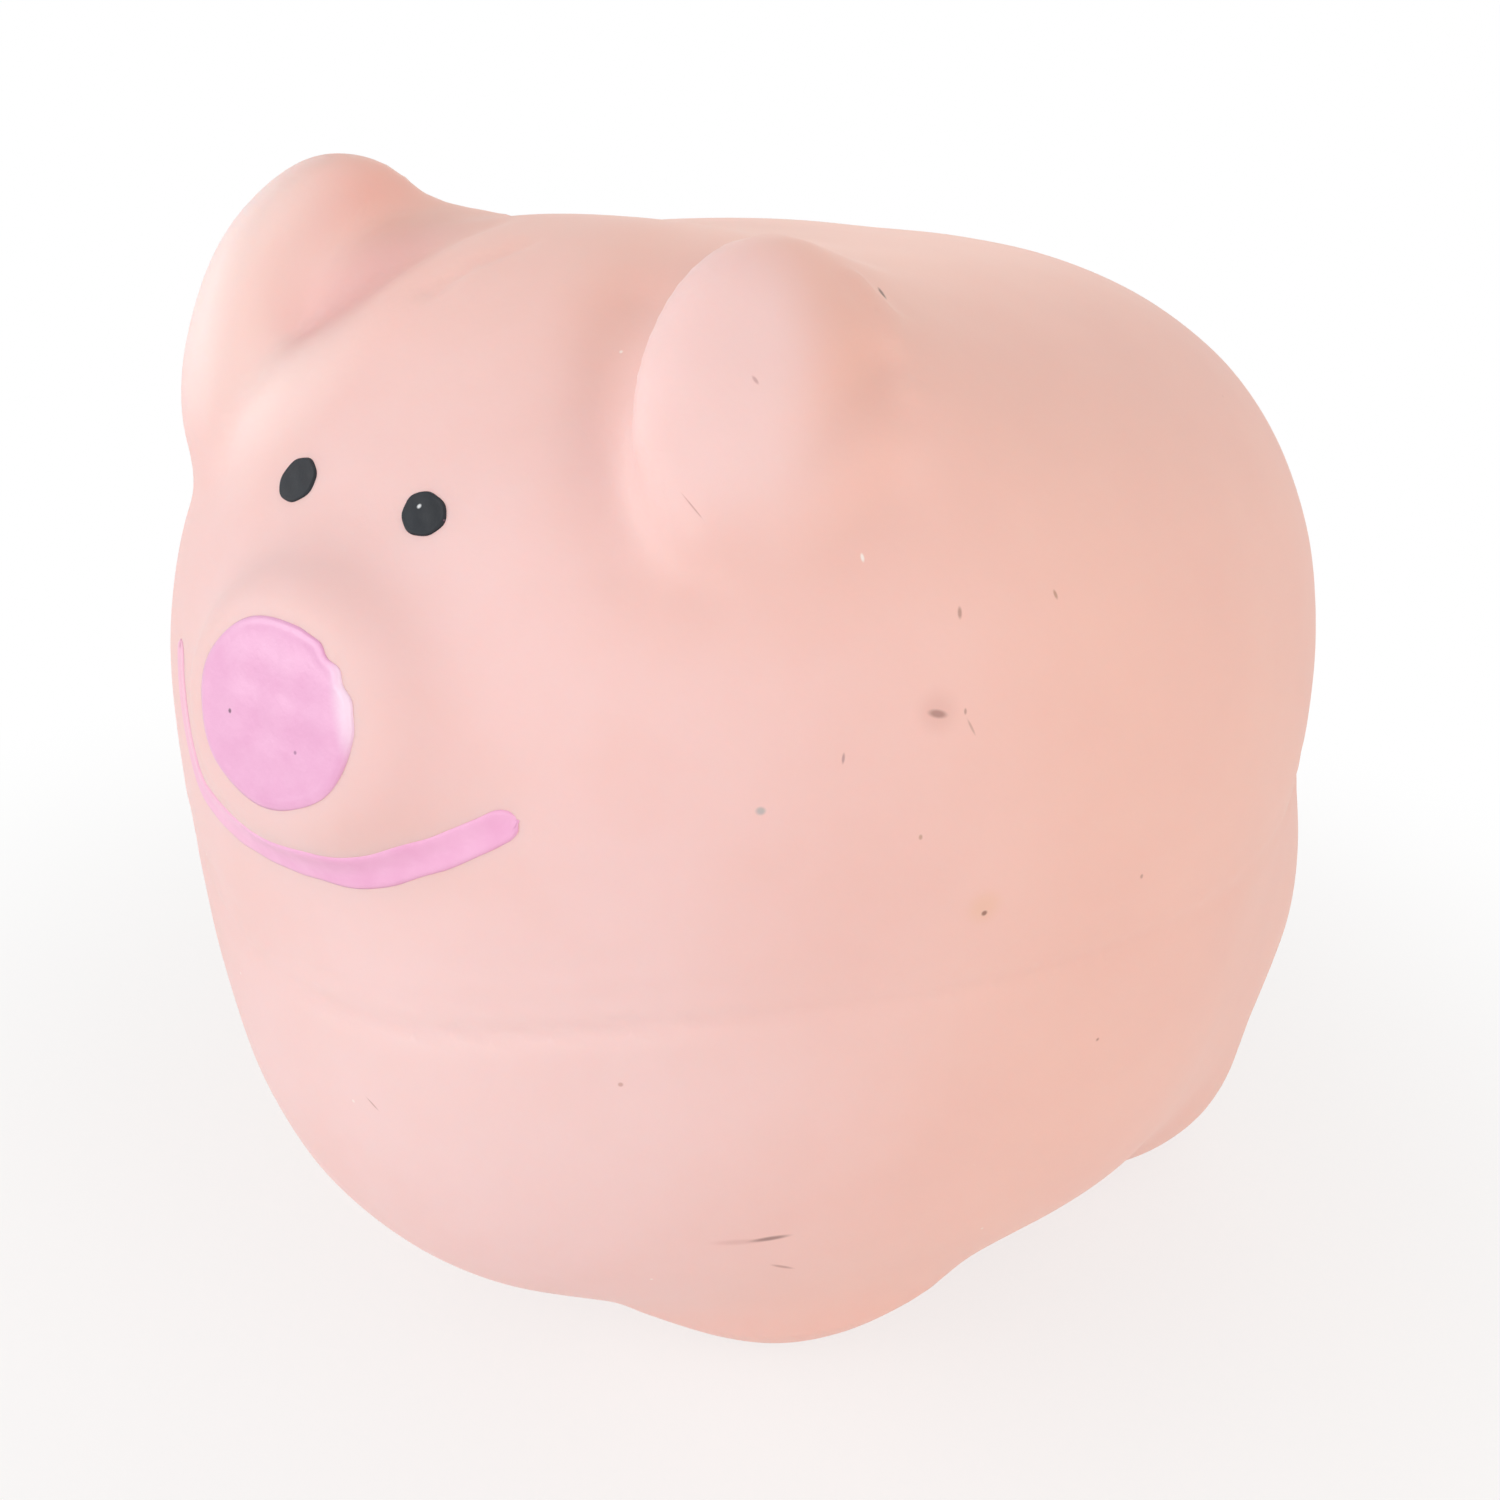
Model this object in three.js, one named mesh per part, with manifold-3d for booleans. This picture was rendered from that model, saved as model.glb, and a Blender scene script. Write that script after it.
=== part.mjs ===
// Latex pig dog toy: a hollow moulded latex skin stuffed with fibre round a squeaker.
// Millimetres, +Z up. The pig looks along -Y, its left side is +X, and its soles stand on Z = 0.

import * as THREE from 'three';
import { mergeVertices } from 'three/addons/utils/BufferGeometryUtils.js';
import Module from 'manifold-3d';

const wasm = await Module();
wasm.setup();

// Body of the moulded skin, measured from its widest level, where the two mould halves meet
const BODY_HALF_WIDTH = 33.8;
const FACE_REACH = 37.35;
const RUMP_REACH = 38.4;
const BACK_RISE = 30.1;
const BELLY_DROP = 31.2;
const BELLY_CLEARANCE = 2.8;
const PLAN_ROUNDNESS = 1.68;
const PLAN_FULLNESS = 0.26;
const BACK_ROUNDNESS = 2.54;
const BELLY_ROUNDNESS = 3;
const MIDLINE_SOFTNESS = 0.11;
const MIDLINE_FLATNESS = 0.9;
const WALL = 2.4;

// Brow: a low swelling across the head between the ears
const BROW_Y = -16;
const BROW_HEIGHT = 21.8;
const BROW_HALF_WIDTH = 18.6;
const BROW_HALF_DEPTH = 9.3;
const BROW_HALF_HEIGHT = 8.5;
const BROW_FILLET = 6;

// Ears: domes with a steep wall to the middle, set by bearing from straight ahead and elevation; each is pulled
// out of the mould a little differently
const EAR_BEARING = 29.9;
const EAR_ELEVATION = 49.7;
const EAR_SINK = 3.2;
const EAR_HALF_WIDTH = 6.4;
const EAR_HALF_DEPTH = 10.3;
const EAR_TURN = 4.4;
const EAR_NOD = -23.4;
const EAR_WALL = 1.22;
const EAR_WALL_TURN = -6;
const EAR_EDGE = 3;
const LEFT_EAR = { side: 1, halfHeight: 13.2, lean: -35.6, wallLean: 7.1, forward: 0, up: 0 };
const RIGHT_EAR = { side: -1, halfHeight: 14.7, lean: -27.1, wallLean: -1.4, forward: 1.8, up: 1.95 };

// Snout: a short stub, a little broader than high, that looks slightly up
const SNOUT_HEIGHT = 11.45;
const SNOUT_PROJECTION = 1.7;
const SNOUT_RADIUS = 5.8;
const SNOUT_BREADTH = 1.14;
const SNOUT_ROOT = 11;
const SNOUT_EDGE = 1.8;
const SNOUT_TILT = 14.4;
const SNOUT_FILLET = 4.2;

// Feet: short round stubs in front, haunches behind, all cut flat where they stand
const FRONT_FOOT = { x: 11, y: -11.5, radius: 9.2, edge: 8.8, top: 11.5, fillet: 9.5 };
const HAUNCH = { x: 20.5, y: 19.5, radius: 10.3, edge: 7.1, top: 30.8, fillet: 10.6 };
const SOLE_CUT = 0.8;

// Tail: a moulded curl low on the rump
const TAIL_HEIGHT = 8;
const TAIL_CURL = 3.6;
const TAIL_THICKNESS = 1.9;

// Paint on the face
const PAINT_GAP = 0.4;
const PAINT_THICKNESS = 0.3;
const NOSE = { halfWidth: 4.9, halfHeight: 4.05, shift: 0.45 };
const EYE = { halfWidth: 1, halfHeight: 0.87, spacing: 8, height: 20.3 };
const MOUTH_HALF_WIDTH = 11.9;
const MOUTH_DROP = 6.6;
const MOUTH_RISE = 4;
const MOUTH_CURVE = 2.6;
const MOUTH_SAG = 1.6;
const MOUTH_STROKE = 1.6;
const MOUTH_TAPER = 10;
const MOUTH_END = 0.15;

// Filling hole in the belly and the glued plug that closes it
const HOLE_RADIUS = 8;
const HOLE_Y = 5;
const PLUG_LIP = 2.4;
const PLUG_LIP_THICKNESS = 1.4;
const VENT_RADIUS = 1.2;

// Squeaker: a blow-moulded bellows with a reed whistle pressed into its neck
const BELLOWS_RADIUS = 13;
const BELLOWS_WALL = 0.8;
const BASE_HEIGHT = 3.5;
const FOLD_COUNT = 4;
const FOLD_HEIGHT = 12.4;
const FOLD_DEPTH = 2.8;
const CROWN_HEIGHT = 4.5;
const NECK_LENGTH = 5;
const NECK_WALL = 1;
const WHISTLE_RADIUS = 4;
const WHISTLE_WALL = 1;
const WHISTLE_RISE = 6;
const WHISTLE_FLANGE = 1.4;
const WHISTLE_FLANGE_THICKNESS = 0.8;
const REED_WIDTH = 3.6;
const REED_THICKNESS = 0.2;
const REED_CLAMPED = 3.2;
const REED_FREE = 5.8;
const TROUGH_CHANNEL_WIDTH = 2.4;
const TROUGH_CHANNEL_DEPTH = 1.5;
const TROUGH_END_WALL = 1;

// Fibre filling, and the running gaps
const FILL_GAP = 0.5;
const FILL_BED = 4;
const CLEARANCE = 0.3;

// Mesh fineness, and the steps that trace a ray to a surface
const SKIN_CELL = 3;
const INNER_FINENESS = 7;
const EAR_FINENESS = 6;
const TAIL_SIDES = 10;
const TAIL_STEPS = 18;
const TURNED_SIDES = 28;
const SMALL_SIDES = 20;
const DOME_STEPS = 5;
const NOSE_RINGS = 2;
const NOSE_SIDES = 24;
const EYE_RINGS = 1;
const EYE_SIDES = 16;
const MOUTH_STEPS = 20;
const OUTSIDE = 90;
const TRACE_STEPS = 120;
const TRACE_PACE = 0.7;
const SETTLE_STEPS = 4;
const SLOPE_STEP = 0.05;
const HAIR = 1e-6;
const WELD = 1e-5;

// Levels and places that follow from the sizes above
const WIDEST_Z = BELLY_CLEARANCE + BELLY_DROP;
const CAVITY_FLOOR = BELLY_CLEARANCE + WALL;
const LIP_RADIUS = HOLE_RADIUS + PLUG_LIP;
const LIP_INNER_Z = CAVITY_FLOOR + cavityRise(HOLE_RADIUS) + CLEARANCE;
const LIP_OUTER_Z = CAVITY_FLOOR + cavityRise(LIP_RADIUS) + 2 * CLEARANCE;
const PLUG_TOP = LIP_OUTER_Z + PLUG_LIP_THICKNESS;
const BASE_Z = PLUG_TOP + FILL_BED + WHISTLE_FLANGE_THICKNESS + 2 * CLEARANCE + NECK_LENGTH;
const FOLDS_Z = BASE_Z + BASE_HEIGHT + CLEARANCE;
const CROWN_Z = FOLDS_Z + FOLD_HEIGHT + CLEARANCE;
const CROWN_TOP = CROWN_Z + CROWN_HEIGHT;
const WHISTLE_FOOT = BASE_Z - NECK_LENGTH - CLEARANCE;
const BORE_RADIUS = WHISTLE_RADIUS - WHISTLE_WALL;
const INSERT_RADIUS = BORE_RADIUS - CLEARANCE;
const REED_FOOT = WHISTLE_FOOT + CLEARANCE;
const REED_HINGE_Z = REED_FOOT + REED_CLAMPED;
const REED_TIP = REED_HINGE_Z + REED_FREE;

const radians = THREE.MathUtils.degToRad;

// Distance fields: negative inside, close to true millimetres near the surface

function softMin(a, b, blend) {
  const h = Math.max(blend - Math.abs(a - b), 0) / blend;
  return Math.min(a, b) - h * h * blend / 4;
}

function softMax(a, b, blend) {
  return -softMin(-a, -b, blend);
}

// An absolute value rounded off at zero, so that no keel runs along the middle of the face
function softAbs(u) {
  const s = MIDLINE_SOFTNESS;
  const flat = MIDLINE_FLATNESS * s;
  return (Math.hypot(u, s) - flat) / (Math.hypot(1, s) - flat);
}

// The ball of the body, or the same form drawn in all round by an inset; seen from above it is fuller higher up
function bodyDistance(p, inset = 0) {
  const z = p.z - WIDEST_Z;
  const x = softAbs(p.x / (BODY_HALF_WIDTH - inset));
  const y = softAbs(p.y / ((p.y < 0 ? FACE_REACH : RUMP_REACH) - inset));
  const h = z / ((z < 0 ? BELLY_DROP : BACK_RISE) - inset);
  const roundness = z < 0 ? BELLY_ROUNDNESS : BACK_ROUNDNESS;
  const fullness = PLAN_ROUNDNESS + PLAN_FULLNESS * THREE.MathUtils.clamp(h, -1, 1);
  const plan = (x ** fullness + y ** fullness) ** (1 / fullness);
  const reach = (plan ** roundness + Math.abs(h) ** roundness) ** (1 / roundness);
  return Math.hypot(p.x, p.y, z) * (1 - 1 / Math.max(reach, HAIR));
}

// An oval body round the origin, by its three half sizes
function ovalDistance(q, size) {
  const scaled = q.clone().divide(size);
  const reach = scaled.length();
  const slope = scaled.divide(size).length();
  return reach * (reach - 1) / Math.max(slope, HAIR);
}

// A cylinder with rounded rims: distance from its axis and along it from its middle
function stubDistance(radial, along, radius, half, edge) {
  const u = radial - (radius - edge);
  const v = Math.abs(along) - (half - edge);
  return Math.min(Math.max(u, v), 0) + Math.hypot(Math.max(u, 0), Math.max(v, 0)) - edge;
}

// The outermost point of a surface on a ray, traced inwards from well outside
function surfaceAlong(distance, start, direction) {
  const p = start.clone().addScaledVector(direction, OUTSIDE);
  for (let i = 0; i < TRACE_STEPS; i++) p.addScaledVector(direction, -TRACE_PACE * distance(p));
  return p;
}

// How far the cavity's floor climbs, at most, from its lowest level to a circle round the filling hole
function cavityRise(radius) {
  const directions = Array.from({ length: TURNED_SIDES }, (_, n) => 2 * Math.PI * n / TURNED_SIDES);
  const rises = directions.map((angle) => {
    const above = new THREE.Vector3(radius * Math.cos(angle), HOLE_Y + radius * Math.sin(angle), WIDEST_Z);
    const floor = surfaceAlong((p) => bodyDistance(p, WALL), above, new THREE.Vector3(0, 0, -1));
    return floor.z - CAVITY_FLOOR;
  });
  return Math.max(...rises);
}

const bodyCentre = new THREE.Vector3(0, 0, WIDEST_Z);

const browCentre = new THREE.Vector3(0, BROW_Y, WIDEST_Z + BROW_HEIGHT);
const browSize = new THREE.Vector3(BROW_HALF_WIDTH, BROW_HALF_DEPTH, BROW_HALF_HEIGHT);

function browDistance(p) {
  return ovalDistance(p.clone().sub(browCentre), browSize);
}

// The snout's front is a flat disc ahead of the face
const snoutAxis = new THREE.Vector3(0, -Math.cos(radians(SNOUT_TILT)), Math.sin(radians(SNOUT_TILT)));
const snoutUp = new THREE.Vector3(0, Math.sin(radians(SNOUT_TILT)), Math.cos(radians(SNOUT_TILT)));
const faceBehindSnout = surfaceAlong(
  bodyDistance,
  new THREE.Vector3(0, 0, WIDEST_Z + SNOUT_HEIGHT),
  new THREE.Vector3(0, -1, 0),
);
const snoutFront = faceBehindSnout.clone().addScaledVector(snoutAxis, SNOUT_PROJECTION);

function snoutDistance(p) {
  const q = p.clone().sub(snoutFront);
  const along = q.dot(snoutAxis);
  const radial = Math.hypot(q.x / SNOUT_BREADTH, q.dot(snoutUp));
  return stubDistance(radial, along + SNOUT_ROOT / 2, SNOUT_RADIUS, SNOUT_ROOT / 2, SNOUT_EDGE);
}

// Each foot starts below the floor, so that the cut leaves a clean flat sole
function footDistance(p, foot) {
  const radial = Math.hypot(Math.abs(p.x) - foot.x, p.y - foot.y);
  const half = (foot.top + SOLE_CUT) / 2;
  return stubDistance(radial, p.z - (foot.top - half), foot.radius, half, foot.edge);
}

// The tail is a ring of latex half sunk into the rump
const tailCentre = surfaceAlong(
  bodyDistance,
  new THREE.Vector3(0, 0, WIDEST_Z + TAIL_HEIGHT),
  new THREE.Vector3(0, 1, 0),
);

// The whole pig but for its ears and tail
function pigDistance(p) {
  let d = softMin(bodyDistance(p), browDistance(p), BROW_FILLET);
  d = softMin(d, snoutDistance(p), SNOUT_FILLET);
  for (const foot of [FRONT_FOOT, HAUNCH]) d = softMin(d, footDistance(p, foot), foot.fillet);
  return d;
}

function normalAt(distance, p) {
  const slope = ['x', 'y', 'z'].map((axis) => {
    const ahead = p.clone();
    const behind = p.clone();
    ahead[axis] += SLOPE_STEP;
    behind[axis] -= SLOPE_STEP;
    return distance(ahead) - distance(behind);
  });
  return new THREE.Vector3(...slope).normalize();
}

// A closed mesh on the zero surface of a field: one point in every cell of a grid that the surface crosses
function skinOf(distance, low, high, cell) {
  const count = ['x', 'y', 'z'].map((axis) => Math.ceil((high[axis] - low[axis]) / cell) + 1);
  const step = [count[1] * count[2], count[2], 1];
  const value = new Float64Array(count[0] * step[0]);
  const place = (n) => new THREE.Vector3(
    low.x + cell * Math.floor(n / step[0]),
    low.y + cell * (Math.floor(n / step[1]) % count[1]),
    low.z + cell * (n % count[2]),
  );
  for (let n = 0; n < value.length; n++) value[n] = distance(place(n));
  openPinches(value, step);
  const inside = (n) => value[n] < 0;
  const points = [];
  const pointOfCell = new Map();
  const cellPoint = (n) => {
    if (!pointOfCell.has(n)) {
      pointOfCell.set(n, points.length);
      points.push(crossing(n));
    }
    return pointOfCell.get(n);
  };
  const crossing = (n) => {
    const corners = CELL_CORNERS.map(([x, y, z]) => n + x * step[0] + y * step[1] + z * step[2]);
    const sum = new THREE.Vector3();
    let crossings = 0;
    for (const [u, v] of CELL_EDGES) {
      const a = corners[u];
      const b = corners[v];
      if (inside(a) === inside(b)) continue;
      sum.add(place(a).lerp(place(b), value[a] / (value[a] - value[b])));
      crossings += 1;
    }
    return settle(distance, sum.divideScalar(crossings));
  };
  const triangles = [];
  for (let n = step[0] + step[1] + step[2]; n < value.length - step[0]; n++) {
    for (let axis = 0; axis < 3; axis++) {
      if (inside(n) === inside(n + step[axis])) continue;
      const u = step[(axis + 1) % 3];
      const v = step[(axis + 2) % 3];
      const ring = [n - u - v, n - v, n, n - u].map(cellPoint);
      if (!inside(n)) ring.reverse();
      const [a, b, c, d] = ring.map((i) => points[i]);
      const turn = a.distanceTo(c) < b.distanceTo(d) ? 0 : 1;
      const [e, f, g, h] = [0, 1, 2, 3].map((i) => ring[(i + turn) % 4]);
      triangles.push(e, f, g, e, g, h);
    }
  }
  const geometry = new THREE.BufferGeometry().setFromPoints(points);
  geometry.setIndex(triangles);
  return geometry;
}

const CELL_CORNERS = [
  [0, 0, 0], [1, 0, 0], [0, 1, 0], [1, 1, 0], [0, 0, 1], [1, 0, 1], [0, 1, 1], [1, 1, 1],
];
const CELL_EDGES = [
  [0, 1], [2, 3], [4, 5], [6, 7], [0, 2], [1, 3], [4, 6], [5, 7], [0, 4], [1, 5], [2, 6], [3, 7],
];

// A cell face whose corners alternate in and out would pinch the mesh: the outer corner nearest the surface
// is taken in
function openPinches(value, step) {
  for (let pinched = true; pinched;) {
    pinched = false;
    for (const [a, b] of [[step[0], step[1]], [step[1], step[2]], [step[2], step[0]]]) {
      for (let n = 0; n < value.length - a - b; n++) {
        const corners = [n, n + a, n + a + b, n + b];
        const [p, q, r, s] = corners.map((c) => value[c] < 0);
        if (p !== r || q !== s || p === q) continue;
        const outer = corners.filter((c) => value[c] >= 0).sort((c, d) => value[c] - value[d]);
        value[outer[0]] = -HAIR;
        pinched = true;
      }
    }
  }
}

// Moves a point along the slope of the field onto the surface
function settle(distance, p) {
  for (let i = 0; i < SETTLE_STEPS; i++) p.addScaledVector(normalAt(distance, p), -TRACE_PACE * distance(p));
  return p;
}

// A closed mesh of a round form: the points of a ball, each moved along its ray from a place inside the form
function roundForm(distance, middle, fineness) {
  const ball = new THREE.IcosahedronGeometry(1, fineness);
  ball.deleteAttribute('normal');
  ball.deleteAttribute('uv');
  const geometry = mergeVertices(ball);
  const position = geometry.attributes.position;
  for (let i = 0; i < position.count; i++) {
    const direction = new THREE.Vector3().fromBufferAttribute(position, i).normalize();
    const p = surfaceAlong(distance, middle, direction);
    position.setXYZ(i, p.x, p.y, p.z);
  }
  return geometry;
}

// Joining and cutting

function solidOf(geometry) {
  const bare = geometry.clone();
  bare.deleteAttribute('normal');
  bare.deleteAttribute('uv');
  const merged = mergeVertices(bare, WELD);
  return new wasm.Manifold(new wasm.Mesh({
    numProp: 3,
    vertProperties: new Float32Array(merged.attributes.position.array),
    triVerts: new Uint32Array(merged.index.array),
  }));
}

function geometryOf(solid) {
  const mesh = solid.getMesh();
  const geometry = new THREE.BufferGeometry();
  geometry.setAttribute('position', new THREE.BufferAttribute(mesh.vertProperties, 3));
  geometry.setIndex(new THREE.BufferAttribute(mesh.triVerts, 1));
  return geometry;
}

// A block wide enough to cut the whole body between two levels
function levelBlock(bottom, top) {
  const span = 4 * Math.max(BODY_HALF_WIDTH, FACE_REACH, RUMP_REACH);
  return solidOf(new THREE.BoxGeometry(span, span, top - bottom).translate(0, 0, (bottom + top) / 2));
}

// Turned pieces stand on the upright axis through the filling hole
function turned(outline, sides = TURNED_SIDES) {
  const points = outline.map(([radius, z]) => new THREE.Vector2(radius, z));
  return new THREE.LatheGeometry(points, sides).rotateX(Math.PI / 2).translate(0, HOLE_Y, 0);
}

function turnedCylinder(radius, bottom, top) {
  return solidOf(turned([[0, bottom], [radius, bottom], [radius, top], [0, top]]));
}

function closedLoop(outline) {
  return [...outline, outline[0]];
}

// Latex skin: ears, snout, feet and tail are solid, the body is a hollow wall open at the filling hole
function latexSkin() {
  const margin = 2 * SKIN_CELL;
  const side = BODY_HALF_WIDTH + margin;
  const low = new THREE.Vector3(-side, snoutFront.y - margin, -SOLE_CUT - margin);
  const high = new THREE.Vector3(side, RUMP_REACH + margin, WIDEST_Z + BACK_RISE + margin);
  const outside = solidOf(skinOf(pigDistance, low, high, SKIN_CELL))
    .add(ear(LEFT_EAR))
    .add(ear(RIGHT_EAR))
    .add(tail());
  const belowFloor = levelBlock(2 * low.z, 0);
  const hole = turnedCylinder(HOLE_RADIUS, -SOLE_CUT, PLUG_TOP);
  return geometryOf(outside.subtract(belowFloor).subtract(innerForm(WALL)).subtract(hole));
}

// One ear, which sits where its bearing and elevation meet the body; made on the left, and mirrored by its side
function ear(form) {
  const bearing = radians(EAR_BEARING);
  const elevation = radians(EAR_ELEVATION);
  const direction = new THREE.Vector3(
    Math.sin(bearing) * Math.cos(elevation),
    -Math.cos(bearing) * Math.cos(elevation),
    Math.sin(elevation),
  );
  const centre = surfaceAlong(bodyDistance, bodyCentre, direction).addScaledVector(direction, -EAR_SINK);
  centre.add(new THREE.Vector3(0, -form.forward, form.up));
  const size = new THREE.Vector3(EAR_HALF_WIDTH, EAR_HALF_DEPTH, form.halfHeight);
  const turn = new THREE.Quaternion()
    .setFromEuler(new THREE.Euler(radians(EAR_NOD), radians(form.lean), radians(EAR_TURN), 'ZYX'))
    .invert();
  const outward = new THREE.Vector3(1, 0, 0)
    .applyEuler(new THREE.Euler(0, -radians(form.wallLean), radians(EAR_WALL_TURN), 'ZYX'));
  const mirrored = (p) => new THREE.Vector3(form.side * p.x, p.y, p.z);
  const distance = (p) => {
    const q = mirrored(p).sub(centre);
    const wall = EAR_WALL - q.dot(outward);
    return softMax(ovalDistance(q.applyQuaternion(turn), size), wall, EAR_EDGE);
  };
  const middle = centre.clone().addScaledVector(outward, (EAR_WALL + EAR_HALF_WIDTH) / 2);
  return solidOf(roundForm(distance, mirrored(middle), EAR_FINENESS));
}

function tail() {
  const ring = new THREE.TorusGeometry(TAIL_CURL, TAIL_THICKNESS, TAIL_SIDES, TAIL_STEPS);
  return solidOf(ring.rotateX(Math.PI / 2).translate(tailCentre.x, tailCentre.y, tailCentre.z));
}

// The body's form drawn in by an inset: the cavity, or the filling that lies in it
function innerForm(inset) {
  return solidOf(roundForm((p) => bodyDistance(p, inset), bodyCentre, INNER_FINENESS));
}

// Plug: a shank that fills the hole and a dished lip glued to the inside of the wall
function fillPlug() {
  const shank = HOLE_RADIUS - CLEARANCE;
  return turned(closedLoop([
    [VENT_RADIUS, BELLY_CLEARANCE + CLEARANCE],
    [shank - CLEARANCE, BELLY_CLEARANCE + CLEARANCE],
    [shank, BELLY_CLEARANCE + 2 * CLEARANCE],
    [shank, LIP_INNER_Z],
    [LIP_RADIUS, LIP_OUTER_Z],
    [LIP_RADIUS, PLUG_TOP],
    [VENT_RADIUS, PLUG_TOP],
  ]));
}

// Fibre filling in two wads: the lower one holds the squeaker, the upper one closes over it
function lowerFilling() {
  const wad = innerForm(WALL + FILL_GAP).intersect(levelBlock(0, CROWN_TOP - CLEARANCE / 2));
  const pocket = turnedCylinder(BELLOWS_RADIUS + FILL_GAP, BASE_Z - CLEARANCE, CROWN_TOP + CLEARANCE);
  const neckWell = turnedCylinder(
    WHISTLE_RADIUS + WHISTLE_FLANGE + FILL_GAP,
    WHISTLE_FOOT - WHISTLE_FLANGE_THICKNESS - CLEARANCE,
    BASE_Z,
  );
  const plugSeat = turnedCylinder(LIP_RADIUS + FILL_GAP, 0, PLUG_TOP + CLEARANCE);
  return geometryOf(wad.subtract(pocket).subtract(neckWell).subtract(plugSeat));
}

function upperFilling() {
  const above = levelBlock(CROWN_TOP + CLEARANCE, 2 * (WIDEST_Z + BACK_RISE));
  return geometryOf(innerForm(WALL + FILL_GAP).intersect(above));
}

// Bellows base: a shallow cup with the neck that grips the whistle
function bellowsBase() {
  const bore = WHISTLE_RADIUS + CLEARANCE;
  const inner = BELLOWS_RADIUS - BELLOWS_WALL;
  const floor = BASE_Z + BELLOWS_WALL;
  return turned(closedLoop([
    [bore, BASE_Z - NECK_LENGTH],
    [bore + NECK_WALL, BASE_Z - NECK_LENGTH],
    [bore + NECK_WALL, BASE_Z],
    [inner, BASE_Z],
    [BELLOWS_RADIUS, floor],
    [BELLOWS_RADIUS, BASE_Z + BASE_HEIGHT],
    [inner, BASE_Z + BASE_HEIGHT],
    [inner, floor + BELLOWS_WALL],
    [inner - BELLOWS_WALL, floor],
    [bore, floor],
  ]));
}

// Bellows folds: a thin wall that zigzags between the outer and inner radius
function bellowsFolds() {
  const steps = 2 * FOLD_COUNT;
  const wallAt = (n, side) => {
    const crest = n % 2 === 0 ? 0 : FOLD_DEPTH;
    const radius = BELLOWS_RADIUS - BELLOWS_WALL / 2 - crest + side * BELLOWS_WALL / 2;
    return [radius, FOLDS_Z + FOLD_HEIGHT * n / steps];
  };
  const levels = Array.from({ length: steps + 1 }, (_, n) => n);
  const outer = levels.map((n) => wallAt(n, 1));
  const inner = levels.map((n) => wallAt(n, -1)).reverse();
  return turned(closedLoop([...outer, ...inner]));
}

// Bellows crown: a low dome, the face that a bite pushes down
function bellowsCrown() {
  const domeArc = (radius, bottom, height) => Array.from({ length: DOME_STEPS + 1 }, (_, n) => {
    const angle = Math.PI / 2 * (1 - n / DOME_STEPS);
    return [radius * Math.sin(angle), bottom + height * Math.cos(angle)];
  });
  const rim = CROWN_HEIGHT / 3;
  const outer = domeArc(BELLOWS_RADIUS, CROWN_Z + rim, CROWN_HEIGHT - rim);
  const inner = domeArc(BELLOWS_RADIUS - BELLOWS_WALL, CROWN_Z + rim, CROWN_HEIGHT - rim - BELLOWS_WALL);
  return turned([
    ...inner.reverse(),
    [BELLOWS_RADIUS - BELLOWS_WALL, CROWN_Z],
    [BELLOWS_RADIUS, CROWN_Z],
    ...outer,
  ]);
}

// Whistle tube: pushed up the neck until its flange meets the end
function whistleTube() {
  const flange = WHISTLE_RADIUS + WHISTLE_FLANGE;
  const bottom = WHISTLE_FOOT - WHISTLE_FLANGE_THICKNESS;
  return turned(closedLoop([
    [BORE_RADIUS, bottom],
    [flange, bottom],
    [flange, WHISTLE_FOOT],
    [WHISTLE_RADIUS, WHISTLE_FOOT],
    [WHISTLE_RADIUS, BASE_Z + WHISTLE_RISE],
    [BORE_RADIUS, BASE_Z + WHISTLE_RISE],
  ]), SMALL_SIDES);
}

// A half-round rod in the whistle bore, on one side of a flat, from one level to another
function halfRod(flat, side, bottom, top, notch) {
  const start = Math.asin(flat / INSERT_RADIUS);
  const edge = Math.sqrt(INSERT_RADIUS ** 2 - flat ** 2);
  const outline = new THREE.Shape();
  outline.moveTo(edge, side * flat);
  outline.absarc(0, 0, INSERT_RADIUS, side * start, side * (Math.PI - start), side < 0);
  if (notch) {
    outline.lineTo(-notch.width / 2, side * flat);
    outline.lineTo(-notch.width / 2, side * (flat + notch.depth));
    outline.lineTo(notch.width / 2, side * (flat + notch.depth));
    outline.lineTo(notch.width / 2, side * flat);
  }
  const length = { depth: top - bottom, bevelEnabled: false, curveSegments: SMALL_SIDES / 2 };
  return new THREE.ExtrudeGeometry(outline, length).translate(0, HOLE_Y, bottom);
}

const reedFlat = REED_THICKNESS / 2 + CLEARANCE;

// Reed trough: its channel is open below and closed above, so the air has to pass under the reed
function reedTrough() {
  const notch = { width: TROUGH_CHANNEL_WIDTH, depth: TROUGH_CHANNEL_DEPTH };
  const channel = solidOf(halfRod(reedFlat, -1, WHISTLE_FOOT, REED_TIP, notch));
  const endWall = solidOf(halfRod(reedFlat, -1, REED_TIP - TROUGH_END_WALL, REED_TIP));
  return geometryOf(channel.add(endWall));
}

// Reed wedge: holds the foot of the reed and shuts the bore behind it
function reedWedge() {
  return halfRod(reedFlat, 1, WHISTLE_FOOT, REED_HINGE_Z);
}

function reed() {
  const length = REED_TIP - REED_FOOT - CLEARANCE;
  const strip = new THREE.BoxGeometry(REED_WIDTH, REED_THICKNESS, length);
  return strip.translate(0, HOLE_Y, REED_FOOT + length / 2);
}

// Paint: a thin skin that stands off the latex by the paint gap, from a grid of points on the surface

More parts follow.
